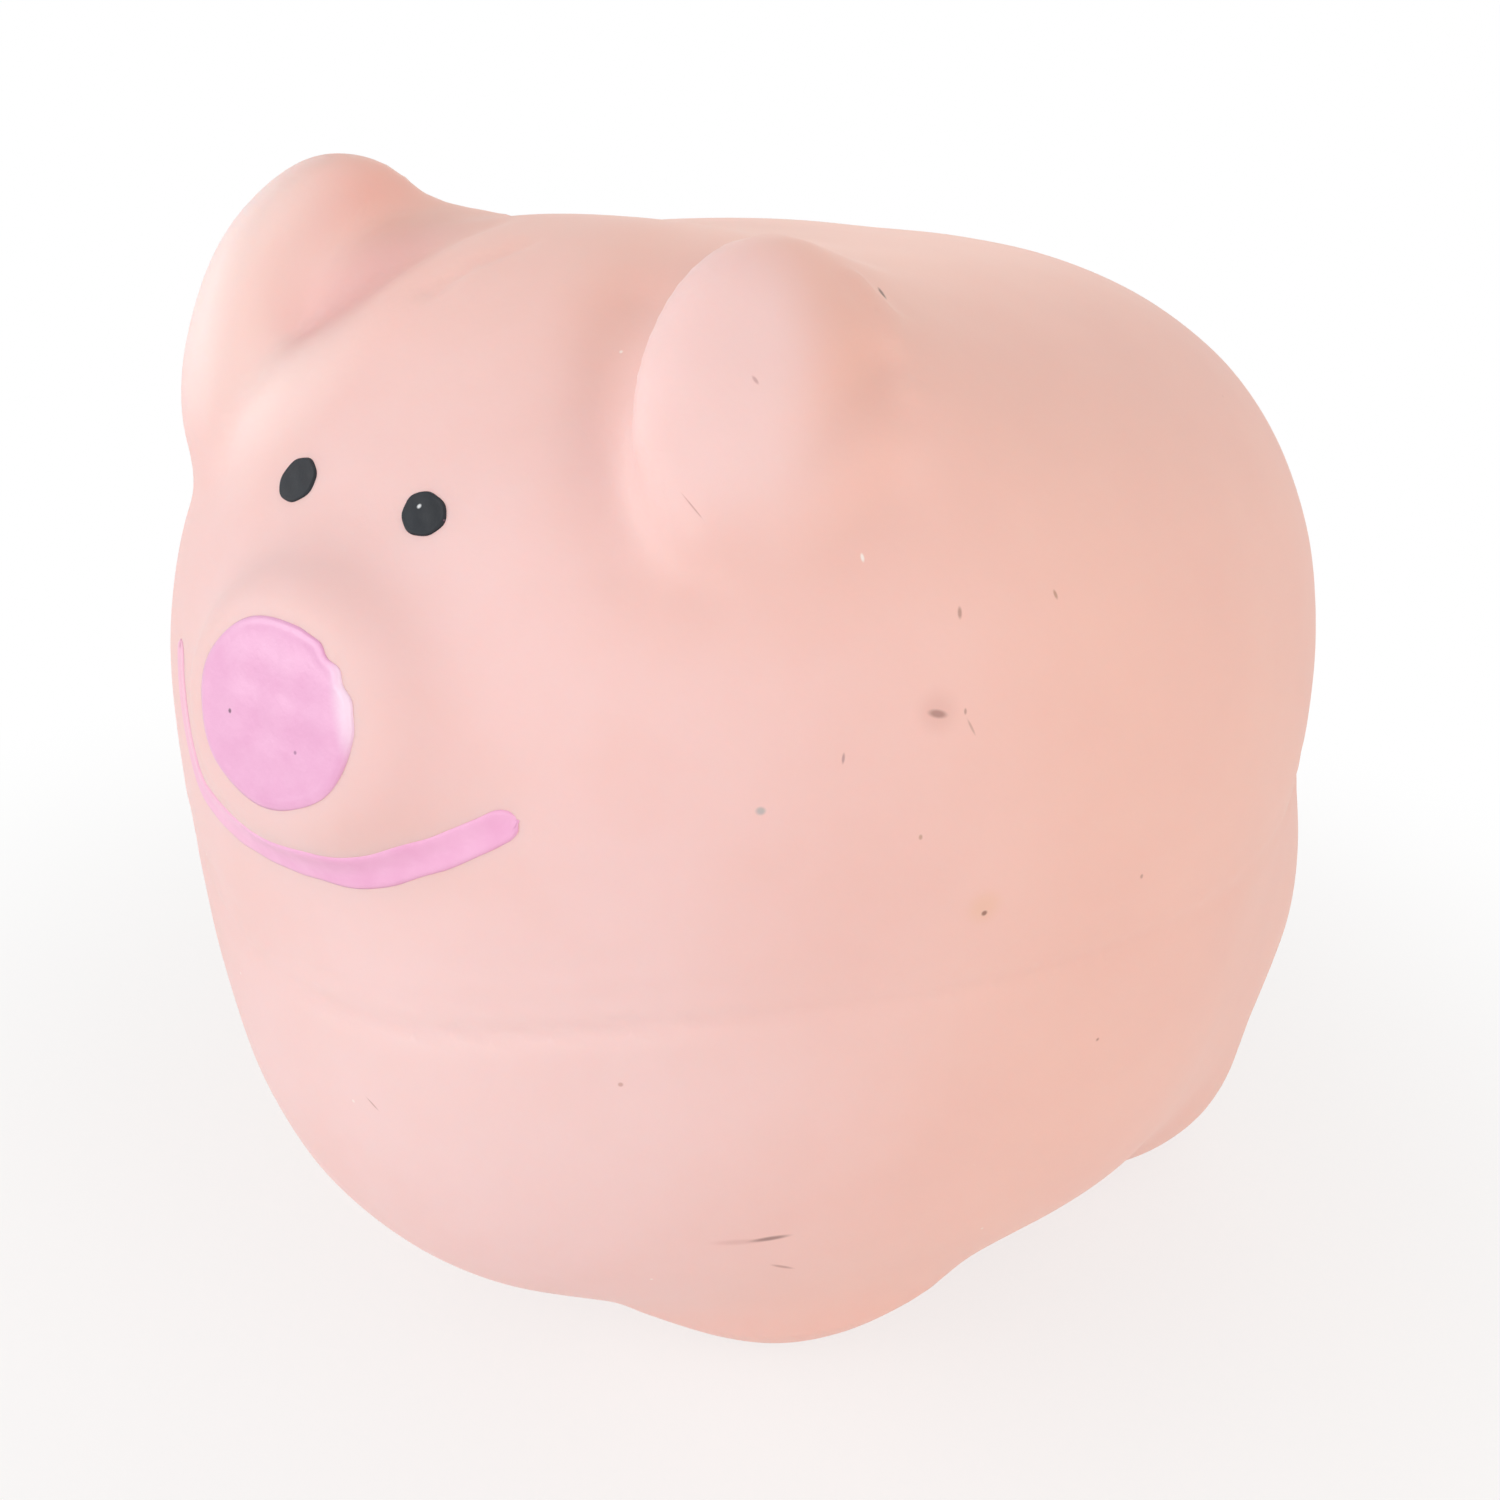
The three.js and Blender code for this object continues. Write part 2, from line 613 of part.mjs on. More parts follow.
function paintedSkin(rows, closedRows) {
  const lifted = (lift) => rows.map((row) => row.map((p) => {
    return p.clone().addScaledVector(normalAt(pigDistance, p), lift);
  }));
  const layers = [lifted(PAINT_GAP + PAINT_THICKNESS), lifted(PAINT_GAP)];
  const width = rows[0].length;
  const size = rows.length * width;
  const points = layers.flat(2);
  const at = (layer, r, c) => layer * size + r * width + c % width;
  const triangles = [];
  const quad = (a, b, c, d) => triangles.push(a, b, c, a, c, d);
  const spans = closedRows ? width : width - 1;
  for (let r = 0; r < rows.length - 1; r++) {
    for (let c = 0; c < spans; c++) {
      quad(at(0, r, c), at(0, r + 1, c), at(0, r + 1, c + 1), at(0, r, c + 1));
      quad(at(1, r, c), at(1, r, c + 1), at(1, r + 1, c + 1), at(1, r + 1, c));
    }
  }
  const last = rows.length - 1;
  for (let c = 0; c < spans; c++) {
    quad(at(0, last, c), at(1, last, c), at(1, last, c + 1), at(0, last, c + 1));
  }
  if (closedRows) {
    for (const [layer, turn] of [[0, 1], [1, -1]]) {
      const hub = points.length;
      const ring = rows[0].reduce((sum, p) => sum.add(p), new THREE.Vector3()).divideScalar(width);
      const middle = facePoint(ring.x, ring.z);
      const lift = layer === 0 ? PAINT_GAP + PAINT_THICKNESS : PAINT_GAP;
      points.push(middle.addScaledVector(normalAt(pigDistance, middle), lift));
      for (let c = 0; c < width; c++) {
        const pair = [at(layer, 0, c), at(layer, 0, c + 1)];
        if (turn < 0) pair.reverse();
        triangles.push(hub, ...pair);
      }
    }
  } else {
    for (let c = 0; c < spans; c++) quad(at(0, 0, c + 1), at(1, 0, c + 1), at(1, 0, c), at(0, 0, c));
    for (let r = 0; r < last; r++) {
      quad(at(0, r, 0), at(1, r, 0), at(1, r + 1, 0), at(0, r + 1, 0));
      quad(at(0, r + 1, spans), at(1, r + 1, spans), at(1, r, spans), at(0, r, spans));
    }
  }
  const geometry = new THREE.BufferGeometry().setFromPoints(points);
  geometry.setIndex(triangles);
  return geometry;
}

// The point of the face that lies straight behind a point in front of it
function facePoint(x, z) {
  const start = new THREE.Vector3(x, 0, z);
  return surfaceAlong(pigDistance, start, new THREE.Vector3(0, -1, 0));
}

// An oval dab of paint on the face
function paintDab(x, z, dab, rings, sides) {
  const rows = Array.from({ length: rings }, (_, r) => Array.from({ length: sides }, (_, c) => {
    const angle = 2 * Math.PI * c / sides;
    const reach = (r + 1) / rings;
    return facePoint(
      x + reach * dab.halfWidth * Math.cos(angle),
      z + reach * dab.halfHeight * Math.sin(angle),
    );
  }));
  return paintedSkin(rows, true);
}

// The smile: a stroke that rises to both ends and sags a little on the pig's right
function mouthPaint() {
  const centreZ = snoutFront.z - MOUTH_DROP;
  const rows = Array.from({ length: MOUTH_STEPS + 1 }, (_, n) => {
    const t = 2 * n / MOUTH_STEPS - 1;
    const sag = t < 0 ? MOUTH_SAG * Math.sin(Math.PI * -t) : 0;
    const z = centreZ + MOUTH_RISE * Math.abs(t) ** MOUTH_CURVE - sag;
    const taper = Math.sqrt(Math.max(1 - t ** MOUTH_TAPER, MOUTH_END));
    return [-1, 0, 1].map((side) => facePoint(t * MOUTH_HALF_WIDTH, z + side * taper * MOUTH_STROKE / 2));
  });
  return paintedSkin(rows, false);
}

// The pieces, each with the colour and finish of its material

const LATEX = { color: 0xf2c4ba, roughness: 0.6 };
const FIBRE = { color: 0xf4f2ec, roughness: 0.95 };
const BELLOWS_PLASTIC = { color: 0xe9ecee, roughness: 0.45 };
const WHISTLE_PLASTIC = { color: 0xd8dde2, roughness: 0.35 };
const REED_FILM = { color: 0xbfc8cf, roughness: 0.3 };
const PINK_PAINT = { color: 0xf3b6d9, roughness: 0.35 };
const BLACK_PAINT = { color: 0x2b3138, roughness: 0.4 };

const eyeX = EYE.spacing / 2;
const eyeZ = WIDEST_Z + EYE.height;

const pieces = {
  latex_skin: [latexSkin(), LATEX],
  fill_plug: [fillPlug(), LATEX],
  lower_filling: [lowerFilling(), FIBRE],
  upper_filling: [upperFilling(), FIBRE],
  bellows_base: [bellowsBase(), BELLOWS_PLASTIC],
  bellows_folds: [bellowsFolds(), BELLOWS_PLASTIC],
  bellows_crown: [bellowsCrown(), BELLOWS_PLASTIC],
  whistle_tube: [whistleTube(), WHISTLE_PLASTIC],
  reed_trough: [reedTrough(), WHISTLE_PLASTIC],
  reed_wedge: [reedWedge(), WHISTLE_PLASTIC],
  reed: [reed(), REED_FILM],
  nose_paint: [paintDab(NOSE.shift, snoutFront.z, NOSE, NOSE_RINGS, NOSE_SIDES), PINK_PAINT],
  mouth_paint: [mouthPaint(), PINK_PAINT],
  left_eye_paint: [paintDab(eyeX, eyeZ, EYE, EYE_RINGS, EYE_SIDES), BLACK_PAINT],
  right_eye_paint: [paintDab(-eyeX, eyeZ, EYE, EYE_RINGS, EYE_SIDES), BLACK_PAINT],
};

const pig = new THREE.Group();
for (const [name, [geometry, finish]] of Object.entries(pieces)) {
  const piece = new THREE.Mesh(geometry, new THREE.MeshStandardMaterial({ ...finish, metalness: 0 }));
  piece.name = name;
  pig.add(piece);
}

export default pig;
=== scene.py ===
"""The looks of a latex pig dog toy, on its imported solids. Metres in Blender, millimetres in the forms below.

+Z is up, the pig looks along -Y, and its left side is +X.
"""

import math

import bmesh
import bpy
import numpy as np
from mathutils import Matrix, Vector

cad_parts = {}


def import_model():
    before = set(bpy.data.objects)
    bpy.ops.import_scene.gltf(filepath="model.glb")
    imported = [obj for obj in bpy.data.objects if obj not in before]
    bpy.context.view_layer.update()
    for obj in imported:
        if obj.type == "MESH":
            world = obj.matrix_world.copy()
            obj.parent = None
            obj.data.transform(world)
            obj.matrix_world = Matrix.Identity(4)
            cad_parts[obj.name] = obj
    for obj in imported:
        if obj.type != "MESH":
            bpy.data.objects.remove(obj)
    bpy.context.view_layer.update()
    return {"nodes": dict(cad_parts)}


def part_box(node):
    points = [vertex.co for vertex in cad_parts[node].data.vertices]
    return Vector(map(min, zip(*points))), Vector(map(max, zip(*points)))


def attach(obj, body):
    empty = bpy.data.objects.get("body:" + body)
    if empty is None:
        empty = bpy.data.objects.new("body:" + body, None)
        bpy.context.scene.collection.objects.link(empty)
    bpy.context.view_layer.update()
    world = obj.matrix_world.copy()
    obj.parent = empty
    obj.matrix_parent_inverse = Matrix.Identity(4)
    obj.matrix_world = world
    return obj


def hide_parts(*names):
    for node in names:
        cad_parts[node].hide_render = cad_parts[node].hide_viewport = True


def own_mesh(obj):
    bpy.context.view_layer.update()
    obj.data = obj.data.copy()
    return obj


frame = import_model()

MM = 0.001

# Body of the moulded skin, measured from its widest level, where the two mould halves meet
BODY_HALF_WIDTH = 33.8
FACE_REACH = 37.35
RUMP_REACH = 38.4
BACK_RISE = 30.1
BELLY_DROP = 31.2
BELLY_CLEARANCE = 2.8
PLAN_ROUNDNESS = 1.68
PLAN_FULLNESS = 0.26
BACK_ROUNDNESS = 2.54
BELLY_ROUNDNESS = 3.0
MIDLINE_SOFTNESS = 0.11
MIDLINE_FLATNESS = 0.9
WALL = 2.4
WIDEST_Z = BELLY_CLEARANCE + BELLY_DROP

# Brow, ears, snout, feet and tail
BROW = np.array((0.0, -16.0, WIDEST_Z + 21.8))
BROW_HALF_SIZE = np.array((18.6, 9.3, 8.5))
BROW_FILLET = 6.0
EAR_CENTRE = np.array((10.4, -18.1, 58.65))
EAR_HALF_WIDTH, EAR_HALF_DEPTH = 6.4, 10.3
EAR_TURN, EAR_NOD = 4.4, -23.4
EAR_WALL = 1.22
EAR_WALL_TURN = -6.0
EAR_EDGE = 3.0
EAR_FOLD_BAND = 1.5
LEFT_EAR = dict(side=1, half_height=13.2, lean=-35.6, wall_lean=7.1, forward=0.0, up=0.0, fold=1.6)
RIGHT_EAR = dict(side=-1, half_height=14.7, lean=-27.1, wall_lean=-1.4, forward=1.8, up=1.9, fold=4.4)
EAR_FILLET = 1.6
SNOUT_FRONT = np.array((0.0, -37.8, 45.87))
SNOUT_RADIUS = 5.8
SNOUT_BREADTH = 1.14
SNOUT_ROOT = 11.0
SNOUT_EDGE = 1.8
SNOUT_TILT = 14.4
SNOUT_FILLET = 4.2
FRONT_FOOT = dict(x=11.0, y=-11.5, radius=9.2, edge=8.8, top=11.5, fillet=9.5)
HAUNCH = dict(x=19.1, y=16.6, radius=11.9, edge=10.3, top=32.0, fillet=11.2)
SOLE_CUT = 0.8
SOLE_EDGE = 0.7
TAIL_HEIGHT = 8.0
TAIL_CURL = 3.6
TAIL_THICKNESS = 1.9
TAIL_FILLET = 1.2

# Painted face: places are (x, z) on it, and a film stands proud of the latex by its thickness
NOSE_ASIDE = 0.2
NOSE_HALF_WIDTH, NOSE_HALF_HEIGHT = 4.95, 4.15
LEFT_EYE = dict(place=(3.45, 54.05), half_size=(1.24, 0.77), lean=-11, phase=0.4)
RIGHT_EYE = dict(place=(-4.9, 54.05), half_size=(1.23, 0.88), lean=0, phase=2.1)
NOSE_FILM, EYE_FILM, SMILE_FILM = 0.10, 0.09, 0.08
FILM_ROOT = 0.12

# Squeaker and filling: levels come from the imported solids, radii repeat the part's own
HOLE_RADIUS = 8.0
HOLE_Y = 5.0
HOLE_EDGE = 0.4
BELLOWS_RADIUS = 13.0
BELLOWS_WALL = 0.8
FOLD_COUNT = 4
FOLD_DEPTH = 2.8
BASE_CUP = 3.5
NECK_WELL_RADIUS = 5.9
PLUG_SEAT_RADIUS = 10.9
FILL_GAP = 0.5
CLEARANCE = 0.3
STRANDS_PER_SQUARE_METRE = 50000.0
STRAND_LENGTH = 7.0
STRAND_RADIUS = 0.06

# Finenesses: the skin's cell is a little finer than its smallest moulded line
SKIN_CELL = 0.62
WAD_CELL = 1.3


def levels(node):
    """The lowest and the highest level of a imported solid, in millimetres."""
    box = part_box(node)
    return box[0].z / MM, box[1].z / MM


PLUG_FOOT, PLUG_TOP = levels("fill_plug")
FOLDS_Z, FOLDS_TOP = levels("bellows_folds")
CROWN_Z, CROWN_TOP = levels("bellows_crown")
BASE_FOOT, BASE_TOP = levels("bellows_base")
TUBE_FOOT, TUBE_TOP = levels("whistle_tube")


# Forms: distances in millimetres, negative inside

def soft_min(a, b, blend):
    h = np.maximum(blend - np.abs(a - b), 0) / blend
    return np.minimum(a, b) - h * h * blend / 4


def soft_max(a, b, blend):
    return -soft_min(-a, -b, blend)


def soft_abs(u):
    """An absolute value rounded off at zero, so that no keel runs along the middle of the face."""
    s = MIDLINE_SOFTNESS
    flat = MIDLINE_FLATNESS * s
    return (np.hypot(u, s) - flat) / (np.hypot(1, s) - flat)


def body_distance(p, inset=0.0):
    x, y, z = p[..., 0], p[..., 1], p[..., 2] - WIDEST_Z
    side = soft_abs(x / (BODY_HALF_WIDTH - inset))
    length = soft_abs(y / (np.where(y < 0, FACE_REACH, RUMP_REACH) - inset))
    height = z / (np.where(z < 0, BELLY_DROP, BACK_RISE) - inset)
    roundness = np.where(z < 0, BELLY_ROUNDNESS, BACK_ROUNDNESS)
    fullness = PLAN_ROUNDNESS + PLAN_FULLNESS * np.clip(height, -1, 1)
    plan = (side ** fullness + length ** fullness) ** (1 / fullness)
    reach = (plan ** roundness + np.abs(height) ** roundness) ** (1 / roundness)
    return np.sqrt(x * x + y * y + z * z) * (1 - 1 / np.maximum(reach, 0.001))


def oval_distance(q, half_size):
    reach = np.linalg.norm(q / half_size, axis=-1)
    slope = np.linalg.norm(q / half_size ** 2, axis=-1)
    return reach * (reach - 1) / np.maximum(slope, 1e-6)


def stub_distance(radial, along, radius, half, edge):
    u = radial - (radius - edge)
    v = np.abs(along) - (half - edge)
    return np.minimum(np.maximum(u, v), 0) + np.hypot(np.maximum(u, 0), np.maximum(v, 0)) - edge


def turned_by(**degrees):
    """A rotation from angles about X, Y and Z, the last one done last."""
    made = np.eye(3)
    for axis, angle in degrees.items():
        made = np.array(Matrix.Rotation(math.radians(angle), 3, axis.upper())) @ made
    return made


def ear_distance(p, ear):
    """One ear, a dome with a steep wall to the middle, and how softly its foot folds into the head."""
    outward = turned_by(y=-ear["wall_lean"], z=EAR_WALL_TURN)[:, 0]
    axes = turned_by(x=EAR_NOD, y=ear["lean"], z=EAR_TURN)
    q = p * (ear["side"], 1, 1) - EAR_CENTRE - (0, -ear["forward"], ear["up"])
    out = q @ outward
    dome = oval_distance(q @ axes, np.array((EAR_HALF_WIDTH, EAR_HALF_DEPTH, ear["half_height"])))
    inner = np.clip((EAR_WALL + EAR_FOLD_BAND - out) / (2 * EAR_FOLD_BAND), 0, 1)
    return soft_max(dome, EAR_WALL - out, EAR_EDGE), EAR_FILLET + (ear["fold"] - EAR_FILLET) * inner


SNOUT_AXIS = np.array((0, -math.cos(math.radians(SNOUT_TILT)), math.sin(math.radians(SNOUT_TILT))))
SNOUT_UP = np.array((0, math.sin(math.radians(SNOUT_TILT)), math.cos(math.radians(SNOUT_TILT))))


def snout_distance(p):
    q = p - SNOUT_FRONT
    radial = np.hypot(q[..., 0] / SNOUT_BREADTH, q @ SNOUT_UP)
    return stub_distance(radial, q @ SNOUT_AXIS + SNOUT_ROOT / 2, SNOUT_RADIUS, SNOUT_ROOT / 2, SNOUT_EDGE)


def foot_distance(p, foot):
    radial = np.hypot(np.abs(p[..., 0]) - foot["x"], p[..., 1] - foot["y"])
    half = (foot["top"] + SOLE_CUT) / 2
    return stub_distance(radial, p[..., 2] - (foot["top"] - half), foot["radius"], half, foot["edge"])


def rump_y(z):
    """How far back the rump reaches on the middle line at a height above the widest level."""
    return RUMP_REACH * (1 - (z / BACK_RISE) ** BACK_ROUNDNESS) ** (1 / BACK_ROUNDNESS)


def tail_distance(p):
    """The tail is a curl of latex half sunk into the rump."""
    x, y, z = p[..., 0], p[..., 1] - rump_y(TAIL_HEIGHT), p[..., 2] - (WIDEST_Z + TAIL_HEIGHT)
    ring = np.hypot(x, z) - TAIL_CURL
    return np.hypot(ring, y) - TAIL_THICKNESS


def pig_distance(p):
    d = soft_min(body_distance(p), oval_distance(p - BROW, BROW_HALF_SIZE), BROW_FILLET)
    for ear in (LEFT_EAR, RIGHT_EAR):
        d = soft_min(d, *ear_distance(p, ear))
    d = soft_min(d, snout_distance(p), SNOUT_FILLET)
    d = soft_min(d, tail_distance(p), TAIL_FILLET)
    for foot in (FRONT_FOOT, HAUNCH):
        d = soft_min(d, foot_distance(p, foot), foot["fillet"])
    return d


# Relief of the moulded skin: the fine forms that stand out of it or are pressed into it

EAR_VALLEY = ((7.7, -22.3, 62.6), (7.8, -24.4, 61.1), (9.0, -26.3, 59.0), (10.9, -28.2, 56.6), (13.0, -29.2, 54.1))
EAR_RIM = ((13.0, -28.5, 58.0), (13.6, -28.7, 56.2), (14.6, -28.5, 54.8), (16.2, -27.7, 54.4))
EAR_GROOVE = ((17.7, -18.3, 60.8), (17.8, -20.9, 59.7), (17.7, -24.3, 57.5), (17.6, -25.8, 55.7), (17.2, -26.7, 54.8))
EAR_CREASE = ((16.3, -28.0, 53.2), (17.9, -26.5, 53.7), (19.3, -24.3, 54.7), (20.4, -21.5, 56.0))
EAR_BACK_RIM = ((14.6, -15.2, 63.6), (16.4, -15.4, 62.3), (18.3, -17.5, 60.6), (19.0, -17.9, 59.9))
RIGHT_EAR_FOLD = ((-6.3, -17.9, 64.6), (-6.7, -20.3, 63.8), (-9.0, -23.6, 61.4), (-11.2, -25.8, 58.7))
EAR_DISH = ((15.0, -24.6, 61.6), (15.8, -25.6, 59.4))
HEAD_WRINKLE = ((-3.7, -23.9, 62.0), (-2.7, -22.2, 63.2), (-1.1, -20.4, 64.1))
# Each line's path, how deep it is pressed in (less than 0 where it stands out) and its width
SKIN_LINES = (
    (HEAD_WRINKLE, 0.48, 0.48), (RIGHT_EAR_FOLD, 0.45, 1.4), (EAR_VALLEY, 0.50, 1.8), (EAR_RIM, -0.30, 1.3),
    (EAR_GROOVE, 0.60, 1.4), (EAR_CREASE, 0.45, 1.5), (EAR_BACK_RIM, -0.30, 0.7), (EAR_DISH, 0.40, 3.4),
)
# The parting line's level at the flanks, its dip at the chest, and the bearing over which it dips
PARTING_Z, PARTING_DIP, PARTING_SPREAD = 34.2, 3.4, 24


def near(p, path, width):
    """1 on a path over the skin, and less to both sides over a width."""
    best = np.full(p.shape[:-1], np.inf)
    for a, b in zip(path, path[1:]):
        a, run = np.array(a), np.array(b) - np.array(a)
        share = np.clip((p - a) @ run / (run @ run), 0, 1)
        best = np.minimum(best, np.linalg.norm(p - a - share[..., None] * run, axis=-1))
    return np.exp(-(best / width) ** 2)


def parting_z(p):
    """The level of the mould's parting line, which dips across the chest."""
    bearing = np.degrees(np.arctan2(p[..., 0], -p[..., 1]))
    return PARTING_Z - PARTING_DIP * np.exp(-(bearing / PARTING_SPREAD) ** 2)


def unevenness(p):
    """Slow hollows of a soft moulding, a tenth of a millimetre deep."""
    x, y, z = p[..., 0], p[..., 1], p[..., 2]
    wide = np.sin(0.21 * x + 1.1 + np.sin(0.17 * z)) * np.sin(0.24 * y + 0.3) * np.sin(0.19 * z + 2.0)
    close = np.sin(0.63 * x - 0.4 + np.sin(0.41 * y)) * np.sin(0.57 * y + 1.7) * np.sin(0.66 * z + 0.8)
    return 0.08 * (1 + wide) + 0.03 * (1 + close)


# The smile from the pig's right to its left, as (x, z) on the face: flat under the snout, steep at its far end
SMILE = (
    (-12.6, 45.0), (-11.3, 41.7), (-9.3, 39.0), (-7.1, 38.35), (-3.0, 38.45), (0.7, 38.9), (4.2, 39.25), (7.6, 40.75),
    (11.2, 43.0),
)
SMILE_STROKE = 1.75


def smooth_line(points, count):
    """A curve of evenly numbered points that passes through a few given ones."""
    given = np.array(points, float)
    given = np.concatenate((2 * given[:1] - given[1:2], given, 2 * given[-1:] - given[-2:-1]))
    at = np.linspace(0, len(points) - 1, count)
    k = np.minimum(at.astype(int), len(points) - 2)
    t = (at - k)[:, None]
    a, b, c, d = (given[k + i] for i in range(4))
    return b + 0.5 * t * (c - a + t * (2 * a - 5 * b + 4 * c - d + t * (3 * (b - c) + d - a)))


SMILE_LINE = smooth_line(SMILE, 160)


def relief(p):
    """How deep the skin lies below its plain form; only the rims of the ears stand out."""
    off_line = p[..., 2] - parting_z(p)
    bearing = np.arctan2(p[..., 0], -p[..., 1])
    trimmed = 0.75 + 0.25 * np.sin(5 * bearing + 0.6) * np.sin(2.3 * bearing + 1.0)
    seam = 0.34 * np.exp(-(off_line / 0.55) ** 2) + 0.16 * np.exp(-((off_line - 1.7) / 0.5) ** 2)
    second = 0.09 * np.exp(-((off_line - 3.6) / 0.5) ** 2) * (np.sin(7 * bearing) > -0.2)
    smile_z = np.interp(p[..., 0], SMILE_LINE[:, 0], SMILE_LINE[:, 1], left=-99, right=-99)
    groove = np.exp(-((p[..., 2] - smile_z) / 0.75) ** 2) * (p[..., 1] < -25)
    depth = trimmed * seam + second
    for path, deep, width in SKIN_LINES:
        depth = depth + deep * near(p, path, width)
    return depth + 0.10 * groove + unevenness(p)


def outer_distance(p):
    return soft_max(pig_distance(p) + relief(p), -p[..., 2], SOLE_EDGE)


def hollow_distance(p):
    """The cavity for the filling, with the hole in the belly that the toy is filled through."""
    hole = np.hypot(p[..., 0], p[..., 1] - HOLE_Y) - HOLE_RADIUS
    return np.minimum(body_distance(p, WALL), np.maximum(hole, p[..., 2] - PLUG_TOP))


def skin_distance(p):
    return soft_max(outer_distance(p), -hollow_distance(p), HOLE_EDGE)


def turned_distance(p, radius, bottom, top):
    """A cylinder on the squeaker's upright axis."""
    radial = np.hypot(p[..., 0], p[..., 1] - HOLE_Y) - radius
    return np.maximum(radial, np.maximum(bottom - p[..., 2], p[..., 2] - top))


def lumps(p):
    """How far the fibre falls short of its tight form: tufts a few millimetres wide, never proud of it."""
    x, y, z = p[..., 0], p[..., 1], p[..., 2]
    tufts = np.sin(0.55 * x + 2 * np.sin(0.31 * z)) * np.sin(0.61 * y + 1.3 * np.sin(0.27 * x)) * np.sin(0.52 * z)
    fine = np.sin(1.7 * x + np.sin(1.1 * y)) * np.sin(1.9 * y + 0.7) * np.sin(1.6 * z + 0.2)
    return 0.45 * (1 + tufts) + 0.14 * (1 + fine)


def lower_wad_distance(p):
    wad = np.maximum(body_distance(p, WALL + FILL_GAP) + lumps(p), p[..., 2] - (CROWN_TOP - CLEARANCE / 2))
    pocket = turned_distance(p, BELLOWS_RADIUS + FILL_GAP, BASE_TOP - BASE_CUP - CLEARANCE, CROWN_TOP + 2)
    neck_well = turned_distance(p, NECK_WELL_RADIUS, TUBE_FOOT - CLEARANCE, BASE_TOP)
    plug_seat = turned_distance(p, PLUG_SEAT_RADIUS, 0, PLUG_TOP + CLEARANCE)
    return np.maximum(wad, -np.minimum(pocket, np.minimum(neck_well, plug_seat)))


def upper_wad_distance(p):
    return np.maximum(body_distance(p, WALL + FILL_GAP) + lumps(p), CROWN_TOP + CLEARANCE + 0.3 * lumps(p) - p[..., 2])


# Meshes

def slope(distance, p):
    step = 0.04
    around = [distance(p + step * e) - distance(p - step * e) for e in np.eye(3)]
    n = np.stack(around, -1)
    return n / np.maximum(np.linalg.norm(n, axis=-1, keepdims=True), 1e-9)


def settle(distance, p, steps=3):
    """Moves points along the slope of a form onto its surface."""
    for _ in range(steps):
        p = p - 0.8 * distance(p)[..., None] * slope(distance, p)
    return p


def wrap(distance, low, high, cell):
    """Points and quads on the surface of a form: one point in every cell of a grid that the surface crosses."""
    axes = [np.arange(a, b + cell, cell) for a, b in zip(low, high)]
    value = np.stack([distance(np.stack(np.meshgrid([x], *axes[1:], indexing="ij"), -1))[0] for x in axes[0]])
    size = np.array(value.shape)
    cells = size - 1

    def corner(offset):
        return value[tuple(slice(o, o + c) for o, c in zip(offset, cells))]

    total = np.zeros((*cells, 3))
    crossings = np.zeros(cells)
    for axis in range(3):
        run = np.eye(3, dtype=int)[axis]
        for a in (0, 1):
            for b in (0, 1):
                start = np.roll(np.array((0, a, b)), axis)
                u, v = corner(start), corner(start + run)
                crossed = (u < 0) != (v < 0)
                share = np.where(crossed, u / np.where(crossed, u - v, 1), 0)
                total += crossed[..., None] * (start + share[..., None] * run)
                crossings += crossed
    used = crossings > 0
    number = np.full(cells, -1)
    number[used] = np.arange(used.sum())
    points = np.array(low) + cell * (np.argwhere(used) + total[used] / crossings[used][:, None])
    quads = []
    inside = value < 0
    for axis in range(3):
        run, u, v = (np.roll(np.eye(3, dtype=int), -axis, 0)[k] for k in range(3))
        ahead = np.roll(inside, -1, axis)
        at = np.argwhere(inside != ahead)
        at = at[(at >= 1).all(1) & (at < cells).all(1)]
        ring = np.stack([number[tuple((at - s).T)] for s in (u + v, v, 0 * u, u)], 1)
        leaves = inside[tuple(at.T)]
        quads.append(np.where(leaves[:, None], ring, ring[:, ::-1]))
    return points, np.concatenate(quads)


def piece(name, points, faces, material):
    """A smooth-shaded mesh object from points in millimetres."""
    mesh = bpy.data.meshes.new(name)
    mesh.from_pydata((np.asarray(points) * MM).tolist(), [], np.asarray(faces).tolist())
    mesh.validate()
    mesh.shade_smooth()
    mesh.materials.append(material)
    made = bpy.data.objects.new(name, mesh)
    bpy.context.scene.collection.objects.link(made)
    return made


def face_outward(made, merge=0.0, crisp=180):
    """Merges a closed mesh's doubles, turns its faces outward, and keeps edges sharper than an angle crisp."""
    work = bmesh.new()
    work.from_mesh(made.data)
    if merge:
        bmesh.ops.remove_doubles(work, verts=work.verts, dist=merge)
    bmesh.ops.recalc_face_normals(work, faces=work.faces)
    work.normal_update()
    for edge in work.edges:
        if len(edge.link_faces) == 2 and edge.calc_face_angle(0) > math.radians(crisp):
            edge.smooth = False
    work.to_mesh(made.data)
    work.free()


def turned(name, outline, material, sides=96):
    """A piece of revolution round the squeaker's axis, from a closed outline of (radius, level)."""
    outline = np.array(outline, float)
    angle = 2 * np.pi * np.arange(sides) / sides
    points = np.stack((
        np.outer(np.cos(angle), outline[:, 0]),
        np.outer(np.sin(angle), outline[:, 0]) + HOLE_Y,
        np.tile(outline[:, 1], (sides, 1)),
    ), -1).reshape(-1, 3)
    count = len(outline)
    s, k = (a.ravel() for a in np.meshgrid(np.arange(sides), np.arange(count), indexing="ij"))
    after, above = (s + 1) % sides, (k + 1) % count
    faces = np.stack((s * count + k, after * count + k, after * count + above, s * count + above), 1)
    made = piece(name, points, faces, material)
    face_outward(made, merge=1e-7, crisp=40)
    return made


